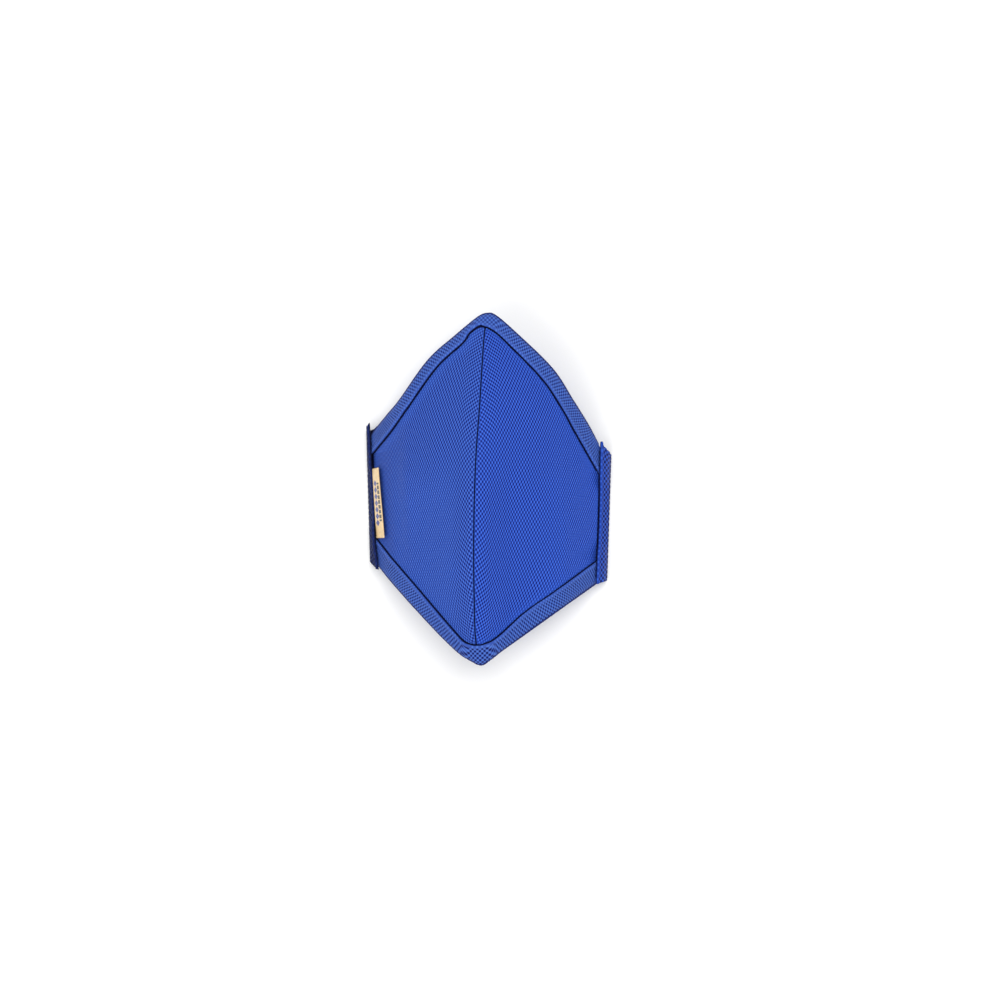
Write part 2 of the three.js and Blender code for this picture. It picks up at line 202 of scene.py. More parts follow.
STITCH_SIGHT = 0.3            # distance each way over which a stitch's heading is measured
STITCH_ARCH = 0.5             # how far its ends dip, as a share of its thickness
SEAM_SEWN = (60.0, -59.0)     # levels between which the seam's stitches show
SEAM_THREAD_OFF = 0.30        # their height above the mid-surface
THREAD_OUT = 0.12             # how far the other stitches stand off the panel's front
THREAD_IN = 0.05              # and off the tape's inner ply
THREAD_INSETS = (-0.06, 0.9)  # their distance from the tape's lip, in front and inside
CASING_END = 0.3              # share of a table row left unsewn at a casing's ends
SEAM_SAMPLES = 500            # points along the seam
SEWN_SAMPLES = 600            # and along another sewn line
STITCH_SLANT = 0.05           # sideways lean of a stitch, as a slope
SEAM_SLANT = 0.06             # and of a stitch of the seam

# Places where the knit's holes show less or more: the share, then one range (mm) over which
# each distance given to eased() brings it in.
SLACK = (0.42, (-16, 4), (4, 14))         # left half's lower slope: -y, from the seam
GATHERED = (0.7, (5.5, 1.5), (-5, 10))    # beside the left half's nose tape: from the tape, y
LABEL_SIDE_SHADE = (0.6, (30, 20), (16, 6))     # beside the label, painted shade on the left wall: from the cheek fold, y
RIGHT_SLACK = (0.25, (26, 40))            # right cheek: from the seam
RIGHT_GATHERED = (0.4, (4.0, 1.0))        # beside the right half's tapes: from the tape

# ---- Curves and the mask's mid-surface ----


def curve(knots, values, at, level_start=False):
    """Smooth curve through a table: a cubic between rows, sloped by its neighbours."""
    span = np.diff(knots)
    secant = np.diff(values) / span
    inner = (span[1:] * secant[:-1] + span[:-1] * secant[1:]) / (span[1:] + span[:-1])
    slope = np.concatenate([[0.0 if level_start else secant[0]], inner, [secant[-1]]])
    row = np.clip(np.searchsorted(knots, at, side="right") - 1, 0, len(span) - 1)
    t = (at - knots[row]) / span[row]
    start = values[row] * (2 * t**3 - 3 * t**2 + 1) + span[row] * slope[row] * (t**3 - 2 * t**2 + t)
    end = values[row + 1] * (3 * t**2 - 2 * t**3) + span[row] * slope[row + 1] * (t**3 - t**2)
    return start + end


def smooth(low, high, value):
    """0 below low, 1 above high, and a cubic ease between."""
    t = np.clip((value - low) / (high - low), 0, 1)
    return t * t * (3 - 2 * t)


def bump(value, width):
    """Bell of height 1 round zero: e to the minus square of value over width."""
    return np.exp(-(value / width) ** 2)


def eased(rule, *values):
    """A rule's share, times the ease of each value over its own range of the rule."""
    share, *ranges = rule
    for (low, high), value in zip(ranges, values):
        share = share * smooth(low, high, value)
    return share


def seam_x(y):
    """Sideways place of the centre seam at level y."""
    return curve(SEAM["y"], SEAM["x"], y)


def fold_x(side, y):
    """Sideways place of a cheek fold at level y."""
    return curve(CHEEK_FOLD["y"], CHEEK_FOLD[side], y)


def fold_lift(x, y):
    """Sum of the soft folds: each a bell along and across its own heading."""
    lift = 0.0
    for centre_x, centre_y, heading, length, width, rise in [*zip(*FOLDS.values()),
                                                             *zip(*RIPPLES.values())]:
        turn = np.radians(heading)
        along = ((x - centre_x) * np.sin(turn) + (y - centre_y) * np.cos(turn)) / length
        across = ((x - centre_x) * np.cos(turn) - (y - centre_y) * np.sin(turn)) / width
        lift = lift + rise * np.exp(-(along**2) - across**2)
    return lift


def height(x, y):
    """Ridge height, less the section's drop, less the seam's drop fading outwards."""
    left = x < seam_x(y)
    edge = np.where(left, fold_x("left", y), fold_x("right", y))
    share = np.minimum((x - seam_x(y)) / (edge - seam_x(y)), PAST_CHEEK)
    upper = smooth(-BLEND_REACH, BLEND_REACH, y)
    drop = {name: curve(SECTION["across"], values, share * HALF_WIDTH, True)
            for name, values in SECTION.items() if name != "across"}
    high = np.where(left, drop["left_upper"], drop["right_upper"])
    low = np.where(left, drop["left_lower"], drop["right_lower"])
    seam_drop = curve(SEAM["y"], SEAM["drop"], y) * (1 - share**2)
    return RIDGE_HEIGHT - (low + (high - low) * upper) - seam_drop + fold_lift(x, y)


def normal(x, y):
    """Unit normal of the mid-surface over (x, y), from its slopes."""
    slope_x = (height(x + NORMAL_STEP, y) - height(x - NORMAL_STEP, y)) / (2 * NORMAL_STEP)
    slope_y = (height(x, y + NORMAL_STEP) - height(x, y - NORMAL_STEP)) / (2 * NORMAL_STEP)
    out = np.stack([-slope_x, -slope_y, np.ones_like(slope_x)], -1)
    return out / np.linalg.norm(out, axis=-1, keepdims=True)


def surface(x, y, off=0.0):
    """Point over (x, y), moved off the mid-surface along its normal (outwards positive)."""
    x, y, off = np.broadcast_arrays(x, y, off)
    return np.stack([x, y, height(x, y)], -1) + normal(x, y) * off[..., None]


def tape_plan(rows, at, share):
    """Plan place on a tape: at counts along its rows, share is 0 at the fold, 1 at the edge."""
    count = np.arange(len(rows["x"]), dtype=float)
    x = curve(count, rows["x"], at) * (1 - share) + curve(count, rows["in_x"], at) * share
    y = curve(count, rows["y"], at) * (1 - share) + curve(count, rows["in_y"], at) * share
    return x, y


def tip_row(rows):
    """The row of a binding that stands on the centre seam: the farthest from the middle."""
    return int(np.argmax(np.abs(rows["y"])))


def tape_width(rows, at):
    """Width of a tape on the surface, from its outer fold to its inner edge."""
    fold = surface(*tape_plan(rows, at, 0.0))
    edge = surface(*tape_plan(rows, at, 1.0))
    return np.linalg.norm(fold - edge, axis=-1)


def casing_rows(side, rows):
    """Casing rows in the same form as the binding tables."""
    inward = 1 if side == "left" else -1
    return {
        "x": fold_x(side, rows["y"]),
        "y": rows["y"],
        "in_x": fold_x(side, rows["in_y"]) + inward * rows["width"],
        "in_y": rows["in_y"],
    }


CASINGS = {"left": casing_rows("left", LEFT_CASING), "right": casing_rows("right", RIGHT_CASING)}


def hole_share(u, v, wale, course):
    """How deep a point lies in a hole of the knit: 1 in its middle and 0 on the yarn.

    The holes stand in brick order, where cos(u turned by its repeat) times cos(v turned by
    its own) is near 1.
    """
    lattice = np.cos(2 * np.pi * u / wale) * np.cos(2 * np.pi * v / course)
    return smooth(*HOLE_SLOPE, lattice)


# ---- Meshes ----


def facing_out(points, triangles):
    """The triangles, turned over when the closed surface's signed volume is negative."""
    a, b, c = points[triangles].transpose(1, 0, 2)
    volume = np.einsum("ij,ij->", a, np.cross(b, c))
    return triangles if volume > 0 else triangles[:, ::-1]


def whole(triangles):
    """The triangles whose three corners differ."""
    a, b, c = triangles.T
    return triangles[(a != b) & (b != c) & (c != a)]


def strips(index):
    """Two triangles for each cell of a grid of point numbers."""
    a, b, c, d = index[:-1, :-1], index[1:, :-1], index[1:, 1:], index[:-1, 1:]
    return np.concatenate([np.stack([a, b, c], -1).reshape(-1, 3),
                           np.stack([a, c, d], -1).reshape(-1, 3)])


def pairs(first, second):
    """Two arrays, spread to one shape, as rows of two."""
    return np.stack(np.broadcast_arrays(first, second), -1).reshape(-1, 2)


def new_piece(name, points, triangles, cloth, edge, material, fold=None):
    """A mesh object from arrays, its place in its mesh, with the cloth's own UV maps."""
    points = points + np.array([0.0, CENTRE_SHIFT_Y, 0.0])
    triangles = facing_out(points, whole(triangles))
    used = np.unique(triangles)
    renumber = np.zeros(len(points), int)
    renumber[used] = np.arange(len(used))
    triangles = renumber[triangles]
    mesh = bpy.data.meshes.new(name)
    mesh.vertices.add(len(used))
    mesh.loops.add(triangles.size)
    mesh.polygons.add(len(triangles))
    mesh.vertices.foreach_set("co", (points[used] * MM).astype(np.float32).ravel())
    mesh.loops.foreach_set("vertex_index", triangles.astype(np.int32).ravel())
    mesh.polygons.foreach_set("loop_start", np.arange(0, triangles.size, 3, dtype=np.int32))
    mesh.update(calc_edges=True)
    for label, values in ((CLOTH_UV, cloth), (EDGE_UV, edge), (FOLD_UV, fold)):
        if values is None:
            continue
        layer = mesh.uv_layers.new(name=label)
        layer.data.foreach_set("uv", values[used][triangles].astype(np.float32).ravel())
    mesh.shade_smooth()
    mesh.materials.append(material)
    if mesh.validate():
        raise RuntimeError(f"{name} had faults in its mesh")
    piece = bpy.data.objects.new(name, mesh)
    bpy.context.scene.collection.objects.link(piece)
    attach(piece, "root")
    return piece


def stands_for(piece, node, slack):
    """Hides the node that a cloth piece stands for, and stops if the piece left that node's place.
    """
    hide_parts(node)
    corners = np.array([corner[:] for corner in piece.bound_box])
    box = np.array([list(corner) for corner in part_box(node)])
    apart = np.abs(np.array([corners.min(0), corners.max(0)]) - box).max() / MM
    if apart > slack:
        raise RuntimeError(f"{piece.name} is {apart:.2f} mm away from its solid's box")


# ---- Panels ----


def measured_cloth(side):
    """Cloth coordinates of one half, on a grid of shares (seam to cheek) and levels.

    s is the length of cloth from the cheek fold inwards at one level. v is the length from
    level 0 along one share, less the lean of the rows times s.
    """
    shares = np.linspace(0, 1, TABLE_SHARES)
    levels = np.arange(-LEVEL_REACH, LEVEL_REACH + TABLE_LEVEL_STEP / 2, TABLE_LEVEL_STEP)
    x = seam_x(levels) + shares[:, None] * (fold_x(side, levels) - seam_x(levels))
    points = surface(x, levels[None, :])
    across = np.linalg.norm(np.diff(points, axis=0), axis=-1)
    s = np.zeros_like(x)
    s[:-1] = np.cumsum(across[::-1], axis=0)[::-1]
    along = np.linalg.norm(np.diff(points, axis=1), axis=-1)
    t = np.zeros_like(x)
    t[:, 1:] = np.cumsum(along, axis=1)
    t -= t[:, [np.searchsorted(levels, 0.0)]]
    return {"shares": shares, "levels": levels, "s": s,
            "v": t - ROW_LEAN[side] * s}


def cloth_at(cloth, side, x, y):
    """Cloth coordinates (s, v) of plan points: the grid read between its four neighbours."""
    share = np.clip((x - seam_x(y)) / (fold_x(side, y) - seam_x(y)), 0, 1)
    row = share * (TABLE_SHARES - 1)
    column = (y + LEVEL_REACH) / TABLE_LEVEL_STEP
    i = np.minimum(row.astype(int), TABLE_SHARES - 2)
    j = column.astype(int)
    p, q = row - i, column - j
    return [grid[i, j] * (1 - p) * (1 - q) + grid[i + 1, j] * p * (1 - q)
            + grid[i, j + 1] * (1 - p) * q + grid[i + 1, j + 1] * p * q
            for grid in (cloth["s"], cloth["v"])]


def edge_line(cloth, side, rows, depth=None):
    """(s, v) along one half of a tape from the seam outwards: its inner edge, or a depth."""
    last = 0 if side == "left" else len(rows["x"]) - 1
    at = np.linspace(tip_row(rows), last, EDGE_SAMPLES)
    share = 1.0 if depth is None else depth / tape_width(rows, at)
    return cloth_at(cloth, side, *tape_plan(rows, at, share))


def tape_line(cloth, side, v, depth, between):
    """For each row v: where a line of the two bindings crosses it, or the value between them."""
    bottom_s, bottom_v = edge_line(cloth, side, BOTTOM_TAPE, depth)
    top_s, top_v = edge_line(cloth, side, TOP_TAPE, depth)
    return np.maximum(np.interp(v, bottom_v, bottom_s, right=between),
                      np.interp(v, top_v[::-1], top_s[::-1], left=between))


def sewn_line(cloth, side, v):
    """For each row v: where the inner edge of tape or casing lies on the panel."""
    rows = CASINGS[side]
    casing_s, casing_v = cloth_at(cloth, side, rows["in_x"], rows["in_y"])
    return np.maximum(tape_line(cloth, side, v, None, 0.0),
                      np.interp(v, casing_v[::-1], casing_s[::-1]))


def panel_grid(side, wale, course):
    """Cloth grid of one half: rows of the knit by columns of the knit.

    Each row runs from its cut edge to the seam. Columns outside a row share its end point,
    and the last few follow the seam, where the cloth turns down.
    """
    cloth = measured_cloth(side)
    tips = [edge_line(cloth, side, rows, TAPE_EDGE_DEPTH)[1][0] for rows in (BOTTOM_TAPE, TOP_TAPE)]
    step = course / COURSE_STEPS
    v = np.arange(np.ceil(tips[0] / step), np.floor(tips[1] / step) + 1) * step
    v = np.concatenate([[tips[0]], v, [tips[1]]])
    level = np.stack([np.interp(v, line, cloth["levels"]) for line in cloth["v"]])
    reach = np.stack([np.interp(y, cloth["levels"], line) for y, line in zip(level, cloth["s"])])
    high = reach[0] - SEAM_GAP / 2
    cut = tape_line(cloth, side, v, TAPE_EDGE_DEPTH, CASING_EDGE_DEPTH)
    low = np.minimum(cut, high)
    low[[0, -1]] = high[[0, -1]]
    roll = np.minimum(SEAM_ROLL, (high - low) / 2)
    step = wale / WALE_STEPS
    count = int(np.ceil(high.max() / step)) + 1
    column = np.arange(count)
    first = np.floor(low / step).astype(int)[:, None]
    last = np.ceil((high - roll) / step).astype(int)[:, None]
    kept = np.clip(column[None, :], first, last)
    s = np.clip(kept * step, low[:, None], (high - roll)[:, None])
    turned = np.arange(1, SEAM_ROLL_COLUMNS + 1) / SEAM_ROLL_COLUMNS
    s = np.hstack([s, (high - roll)[:, None] + roll[:, None] * turned])
    share = np.stack([np.interp(row, line[::-1], cloth["shares"][::-1])
                      for row, line in zip(s, reach.T)])
    y = np.stack([np.interp(row, line[::-1], lev[::-1])
                  for row, line, lev in zip(s, reach.T, level.T)])
    x = seam_x(y) + share * (fold_x(side, y) - seam_x(y))
    ends = np.arange(count, count + SEAM_ROLL_COLUMNS)
    kept = np.hstack([kept, np.broadcast_to(ends, (len(v), SEAM_ROLL_COLUMNS))])
    kept[[0, -1]] = kept[[0, -1], :1]
    return {"x": x, "y": y, "s": s, "v": np.broadcast_to(v[:, None], s.shape), "kept": kept,
            "to_seam": high[:, None] - s, "sewn": sewn_line(cloth, side, v)[:, None],
            "row_step": np.gradient(v)[:, None]}


def hole_strength(side, to_seam, to_tape, to_cheek, y):
    """How plainly the holes show: fully where the cloth is stretched over the ridge.

    Less on the left half's lower slope and near the right cheek, where it hangs slack, and
    less beside the tapes, where the sewing gathers it. More beside the label, towards the left
    casing: painted shade that darkens that wall.
    """
    if side == "left":
        return ((1 - eased(SLACK, -y, to_seam)) * (1 - eased(GATHERED, to_tape, y))
                + eased(LABEL_SIDE_SHADE, to_cheek, y))
    return (1 - eased(RIGHT_SLACK, to_seam)) * (1 - eased(RIGHT_GATHERED, to_tape))


def row_pull(to_seam, y):
    """How far the seam's sewing drew the knit's rows towards the middle of the seam.

    It eases off away from the seam, and grows from nothing near y = 0 to either end.
    """
    (nose, chin), (start, full) = ROW_PULL, ROW_PULL_LEVELS
    pull = nose * smooth(-start, full, y) - chin * smooth(start, -full, y)
    return pull * (1 - smooth(*ROW_PULL_REACH, to_seam))


def panel(side, wale, course, hole_depth, material):
    """One half of the mask, closed: a dimpled front face, a plain back face and their edges.

    The front lies half the wall above the mid-surface, less the knit's holes, less a ditch
    that starts at the sewn tapes, plus a low welt beside the seam, and turns down at the seam
    along a quarter circle. The back lies half the wall below.
    """
    grid = panel_grid(side, wale, course)
    slope = np.gradient(grid["sewn"], axis=0) / grid["row_step"]
    to_tape = (grid["s"] - grid["sewn"]) / np.hypot(1, slope)
    high_end = 1 if side == "right" else -1
    welt = WELT_MORE * smooth(-WELT_EASE, WELT_EASE, high_end * grid["y"]) + WELT_LOW
    welt = welt * smooth(*WELT_CLEAR, to_tape)
    turned = np.clip(1 - grid["to_seam"] / SEAM_ROLL, 0, 1)
    v = grid["v"] + row_pull(grid["to_seam"], grid["y"])
    front = (PANEL_WALL / 2
             - hole_depth * hole_share(grid["s"], v, wale, course) * (1 - turned)
             - DITCH_DEPTH * bump(np.minimum(to_tape, DITCH_END), DITCH_WIDTH)
             + welt * bump(grid["to_seam"] - WELT_MIDDLE, WELT_WIDTH) * (1 - turned)
             - SEAM_ROLL_DEPTH * (1 - np.sqrt(1 - turned**2)))
    faces = np.stack([surface(grid["x"], grid["y"], front),
                      surface(grid["x"], grid["y"], -PANEL_WALL / 2)])
    rows, columns = grid["kept"].shape
    front_index = np.arange(rows)[:, None] * columns + grid["kept"]
    back_index = front_index[:, ::BACK_COARSER] + rows * columns
    first = np.stack([front_index[:, 0], back_index[:, 0]], 1)
    back_end = front_index[:, -1] + rows * columns
    back_index = np.hstack([back_index, back_end[:, None]])
    last = np.stack([front_index[:, -1], back_end], 1)
    triangles = np.concatenate([strips(front_index), strips(back_index)[:, ::-1],
                                strips(first)[:, ::-1], strips(last)])
    uv = pairs(grid["s"], v)
    # The painted crease shade beside the seam: the seam's distance drawn in, so that the dark line
    # is thin.
    scale, fading, gone = SEAM_CREASE
    to_crease = (scale * grid["to_seam"]
                 + SEAM_CREASE_FADE * smooth(fading, gone, grid["to_seam"]))
    to_edge = np.maximum(np.minimum(to_tape, to_crease), 0)
    strength = hole_strength(side, grid["to_seam"], to_tape, grid["s"], grid["y"])
    edge = pairs(to_edge, strength)
    return new_piece(f"panel_{side}_cloth", faces.reshape(-1, 3), triangles,
                     np.tile(uv, (2, 1)), np.tile(edge, (2, 1)), material)


# ---- Folded tapes ----


def fold_section(reach, radius, depth_of_fold, spread_to):
    """Arc coordinate to (depth, off): a half circle of the radius, then plies that open.

    Past the half circle the plies run straight, while their distance from the middle eases
    from the radius to its full value.
    """
    quarter = radius * np.pi / 2
    bent = np.clip(reach / radius, -np.pi / 2, np.pi / 2)
    straight = np.maximum(np.abs(reach) - quarter, 0)
    depth = depth_of_fold - radius * np.cos(bent) + straight
    opened = (spread_to - radius) * smooth(0, FOLD_SPREAD, straight)
    return depth, radius * np.sin(bent) + np.sign(reach) * opened


def along_tape(rows, step, tuck):
    """Even steps along a tape's mid-line: its row count at each, and the length so far."""
    fine = np.linspace(-tuck, len(rows["x"]) - 1 + tuck, TAPE_SAMPLES)
    line = surface(*tape_plan(rows, fine, 0.5))
    length = np.concatenate([[0], np.cumsum(np.linalg.norm(np.diff(line, axis=0), axis=-1))])
    even = np.linspace(0, length[-1], int(np.ceil(length[-1] / step)) + 1)
    return np.interp(even, length, fine), even


def ring_mesh(outer, inner):
    """Closed mesh between two grids with the same rows: sides, both lips and both ends."""
    rows, fine = outer.shape[:2]
    coarse = inner.shape[1]
    outer_index = np.arange(rows * fine).reshape(rows, fine)
    inner_index = np.arange(rows * coarse).reshape(rows, coarse) + rows * fine
    near = np.rint(np.arange(fine) * (coarse - 1) / (fine - 1)).astype(int)
    triangles = [strips(outer_index), strips(inner_index)[:, ::-1],
                 strips(np.stack([outer_index[:, 0], inner_index[:, 0]], 1))[:, ::-1],
                 strips(np.stack([outer_index[:, -1], inner_index[:, -1]], 1))]
    for row, turn in ((0, -1), (-1, 1)):
        end = strips(np.stack([outer_index[row], inner_index[row][near]], 0))
        triangles.append(end[:, ::turn])
    points = np.concatenate([outer.reshape(-1, 3), inner.reshape(-1, 3)])
    return points, np.concatenate(triangles)


def no_lift(at):
    """Plies that lie on the panel all along."""
    return np.zeros_like(at)


def over_bindings(side, rows):
    """A casing's lift along its rows: its plies rise over the ends of both bindings."""
    end = 0 if side == "left" else -1
    top, bottom = TOP_TAPE["in_y"][end], BOTTOM_TAPE["in_y"][end]

    def lift(at):
        y = tape_plan(rows, at, 1.0)[1]
        return BINDING_RISE * (smooth(top - RISE_START, top - RISE_END, y)
                               + smooth(-bottom - RISE_START, -bottom - RISE_END, -y))

    return lift


def raised(rows, at, depth, width, off, rise):
    """Points of a tape's plies: off the surface along its normal, and opened by a rise.

    The rise starts and is full at two depths, and moves the plies upright, by its size over
    the normal's upright part, so that their outline from above stays.
    """
    place = tape_plan(rows, at, depth / width)
    points = surface(*place, off)
    points[..., 2] += np.sign(off) * rise * smooth(*RISE_DEPTH, depth) / normal(*place)[..., 2]
    return points


def straight_at_tip(rows, at, length, place, u, v):
    """Tape coordinates eased near the tip to plan ones, so that the knit runs straight there.

    Near the tip u becomes the distance aside from it, and v the distance in from it, drawn
    out to the tape's width on the surface.
    """
    tip = tip_row(rows)
    tip_length = np.interp(tip, at[:, 0], length[:, 0])
    near = 1 - smooth(*TIP_REACH, np.abs(length - tip_length))
    x, y = tape_plan(rows, float(tip), 0.0)
    stretch = tape_width(rows, float(tip)) / abs(y - rows["in_y"][tip])
    inward = np.sign(v) * np.abs(place[1] - y) * stretch
    return u + near * (place[0] - x + tip_length - u), v + near * (inward - v)


def folded_tape(name, rows, knit, hole_depth, shape, material):
    """Tape folded round a cloth edge, its section carried along the table's rows.

    Its outer face follows the half circle of the fold and two plies that open to their gap,
    less the knit's holes, plus a roll beside the sewn lip and a slow ripple from the sewing.
    It is pressed flat where it would go below the ground.

    The shape gives the fold's radius, the tuck of its ends, and as functions of the row count
    the plies' lift, the knit's shear and the strength of its holes. It says whether the tape
    has a tip on the centre seam, and a casing's shape lists the spikes of its frayed first
    end: how deep from the fold, how long and how wide.
    """
    fold_radius = shape["fold_radius"]
    at, length = along_tape(rows, TAPE_ROW_STEP, shape["tuck"])
    at, length = at[:, None], length[:, None]
    width = tape_width(rows, at)
    inside = PANEL_WALL / 2 + TAPE_GAP
    outside = inside + TAPE_PLY
    rise = shape["lift"](at)
    centre = fold_radius - FOLD_OUTSET
    full = fold_radius * np.pi / 2 + width - centre
    even = np.linspace(-1, 1, TAPE_COLUMNS)[None, :]
    arc = full * even * (1 + LIP_CROWDING * (1 - even**2))
    depth, off = fold_section(arc, fold_radius, centre, outside)
    to_lip = full - np.abs(arc)
    side = np.sign(arc)
    cut = LIP_RADIUS - np.minimum(to_lip, LIP_RADIUS)
    off -= side * (LIP_RADIUS - np.sqrt(LIP_RADIUS**2 - cut**2))
    u, v = length + shape["shear"](at) * arc, arc
    if shape["has_tip"]:
        u, v = straight_at_tip(rows, at, length, tape_plan(rows, at, depth / width), u, v)
    strength = shape["strength"](at)
    holes = hole_share(u, v, *knit) * smooth(*LIP_HOLES, to_lip) * strength
    wander, slow = RIPPLE_WANDER
    ripple = RIPPLE * np.sin(2 * np.pi * length / RIPPLE_PITCH + wander * np.sin(length / slow))
    grow = -hole_depth * holes
    for high, (middle, spread) in ((LIP_ROLL, LIP_ROLL_PLACE), (ripple, RIPPLE_PLACE)):
        grow = grow + high * bump(to_lip - middle, spread)
    scale = 1 + grow / outside
    depth = centre + (depth - centre) * np.where(depth < centre, scale, 1)
    outer = raised(rows, at, depth, width, off * scale, rise)
    inner_radius = fold_radius - TAPE_PLY
    inner_full = inner_radius * np.pi / 2 + width - centre - LIP_RADIUS / 2
    inner_arc = inner_full * np.linspace(-1, 1, TAPE_INNER_COLUMNS)[None, :]
    inner_depth, inner_off = fold_section(inner_arc, inner_radius, centre, inside)
    inner = raised(rows, at, inner_depth, width, inner_off, rise)
    for deep, long, wide in shape.get("spikes", ()):
        outer[..., 1] += long * bump(length, SPIKE_REACH) * bump(depth - deep, wide) * (side > 0)
    points, triangles = ring_mesh(outer, inner)
    points[:, 2] = np.maximum(points[:, 2], 0.0)
    uv = np.concatenate([pairs(u, v), pairs(length, inner_arc)])
    edge = np.concatenate([pairs(to_lip, strength), pairs(np.ones_like(inner_arc), 1.0)])
    fold = np.concatenate([pairs(np.abs(arc), 0.0), pairs(np.abs(inner_arc), 0.0)])
    return new_piece(name + "_cloth", points, triangles, uv, edge, material, fold)


# ---- Label ----


def label_piece(material):
    """Ribbon folded double at its free edge, its two ends sewn in at the casing.

    The folded section is carried from the chin end to the nose end. The ribbon's woven
    edges stand a little proud, and the free edge lifts off the panel as the square of the
    share across.
    """
    along = np.linspace(0, 1, LABEL_ROWS)[:, None]
    y = LABEL["y"][0] + along * np.diff(LABEL["y"])
    sewn = curve(LABEL["y"], LABEL["sewn_x"], y)
    free = curve(LABEL["y"], LABEL["free_x"], y)
    width = np.linalg.norm(surface(sewn, y) - surface(free, y), axis=-1)
    outside = LABEL_THICKNESS / 2
    length = (along - 0.5) * np.linalg.norm(surface(sewn[-1], y[-1]) - surface(sewn[0], y[0]))
    to_edge = np.abs(length[0]) - np.abs(length)
    rim, worn = [high * bump(to_edge - middle, spread)
                 for high, middle, spread in (LABEL_RIM, LABEL_WORN)]

    def placed(reach, radius, grow):
        depth, off = fold_section(reach, radius, outside, radius)
        share = 1 - depth / width
        lowest = PANEL_WALL / 2 + CLOTH_GAP + LABEL_LIFT * share**2
        puff = LABEL_PUFF * np.sin(np.pi * np.clip(share, 0, 1)) * (off > 0) * grow
        off = off + np.sign(off) * (rim - worn) * grow + puff
        return surface(sewn + (free - sewn) * share, y, lowest + outside + off)

    outer_reach = outside * np.pi / 2 + width - outside
    arc = outer_reach * np.linspace(-1, 1, LABEL_COLUMNS)[None, :]
    inner_reach = LABEL_BORE * np.pi / 2 + width - outside
    inner_arc = inner_reach * np.linspace(-1, 1, LABEL_INNER_COLUMNS)[None, :]
    points, triangles = ring_mesh(placed(arc, outside, 1.0), placed(inner_arc, LABEL_BORE, 0.0))
    uv = np.concatenate([pairs(outer_reach - arc, length),
                         pairs(inner_arc - BACK_OF_LABEL, length)])
    return new_piece("label_ribbon", points, triangles, uv, np.ones_like(uv), material)


# ---- Stitches ----


def stitch_row(path, up, pitch, length, thickness, slant):
    """Stitches of one sewn line, each a short bent grain of thread.

    A grain's radius is its half thickness times the root of 1 less the fourth power of the
    share along it, and its middle is arched upwards.
    """
    step = np.linalg.norm(np.diff(path, axis=0), axis=-1)
    run = np.concatenate([[0], np.cumsum(step)])
    count = int(run[-1] / pitch)
    centres = (np.arange(count) + 0.5) * run[-1] / count

    def at(places, values):
        return np.stack([np.interp(places, run, column) for column in values.T], -1)

    centre, lift = at(centres, path), at(centres, up)
    forward = at(centres + STITCH_SIGHT, path) - at(centres - STITCH_SIGHT, path)
    forward /= np.linalg.norm(forward, axis=-1, keepdims=True)
    aside = np.cross(lift, forward)
    forward, aside = forward + slant * aside, aside - slant * forward
    rings, sides = STITCH_RINGS, STITCH_SIDES
    share = np.linspace(-1, 1, rings)[:, None]
    turn = 2 * np.pi * np.arange(sides)[None, :] / sides
    radius = thickness / 2 * np.sqrt(np.maximum(1 - share**4, 0))
    along = np.broadcast_to(share * length / 2, (rings, sides))
    sideways = radius * np.cos(turn)
    upwards = radius * np.sin(turn) - STITCH_ARCH * thickness * share**2
    points = (centre[:, None, None, :]
              + along[None, ..., None] * forward[:, None, None, :]
              + sideways[None, ..., None] * aside[:, None, None, :]
              + upwards[None, ..., None] * lift[:, None, None, :])
    index = np.arange(rings * sides).reshape(rings, sides)
    index[0] = index[0, 0]
    index[-1] = index[-1, 0]
    one = whole(strips(np.hstack([index, index[:, :1]])))
    triangles = (one[None] + (np.arange(count) * rings * sides)[:, None, None]).reshape(-1, 3)
    uv = pairs(along[None] + centres[:, None, None], (turn * thickness / 2)[None])
    return points.reshape(-1, 3), triangles, uv


def joined(parts):
    """Several (points, triangles, uv) as one."""
    starts = np.cumsum([0] + [len(points) for points, _, _ in parts[:-1]])
    return (np.concatenate([points for points, _, _ in parts]),
            np.concatenate([triangles + start for start, (_, triangles, _) in zip(starts, parts)]),
            np.concatenate([uv for _, _, uv in parts]))


def sewn_path(rows, at, inset, off, rise):
    """Line along a tape, inset from its inner edge, and the surface's normal there."""
    width = tape_width(rows, at)
    up = normal(*tape_plan(rows, at, 1 - inset / width))
    return raised(rows, at, width - inset, width, off, rise), up


# ---- Materials ----

# Sizes of the patterns (mm).
DYE_CLOUD = 25.0              # slow changes of the dye's shade
YARN_CLOUD = 0.4              # quick changes from strand to strand
RIBBON_CLOUD = 1.2
RIBBON_RIB = 0.5              # about 0.15 in the real ribbon, drawn coarser to show
THREAD_RIB = 0.5              # half the twist of a two-ply thread
ROLLER_GRAIN = 2.0
RIBBON_RELIEF = 0.05
THREAD_RELIEF = 0.05
BOARD_RELIEF = 0.1
CREASE_PAINTED_SHADE = (0.13, 0.03)         # distances from a sewn line at which its painted crease shade starts and is full
ROLL = (0.7, 1.6)             # distances between which the roll beside it gives way to holes
# Values of the knit's lattice between which a hole's colour and a strand's crest, a painted
# highlight, come in.
HOLE_EDGE = (0.02, 0.52)
CREST_EDGE = (0.1, -0.9)
OPENING = {1: 0.35, 2: 0.6, 3: 0.8, 4: 1.0}   # slow noise to the share of a hole that is open
NOISE_MIDDLE = (0.3, 0.7)     # the part of a noise that swings a shade from end to end
CLOTH_SWINGS = (0.05, 0.10)   # swings of shade by dye and by yarn
RIBBON_SWING = 0.12
FIBRE_HEIGHT = 0.25           # height of the yarn's fibres, as a share of a hole's depth
FOLD_PAINTED_SHADE = 0.85          # share of the holes' dark painted along a fold as its shade
CREASE_SHADE_LIGHT = 0.35           # light of the painted crease shade, as a share of a hole's
PLY_LIGHT = 0.6               # light between the thread's plies, as a share of their own
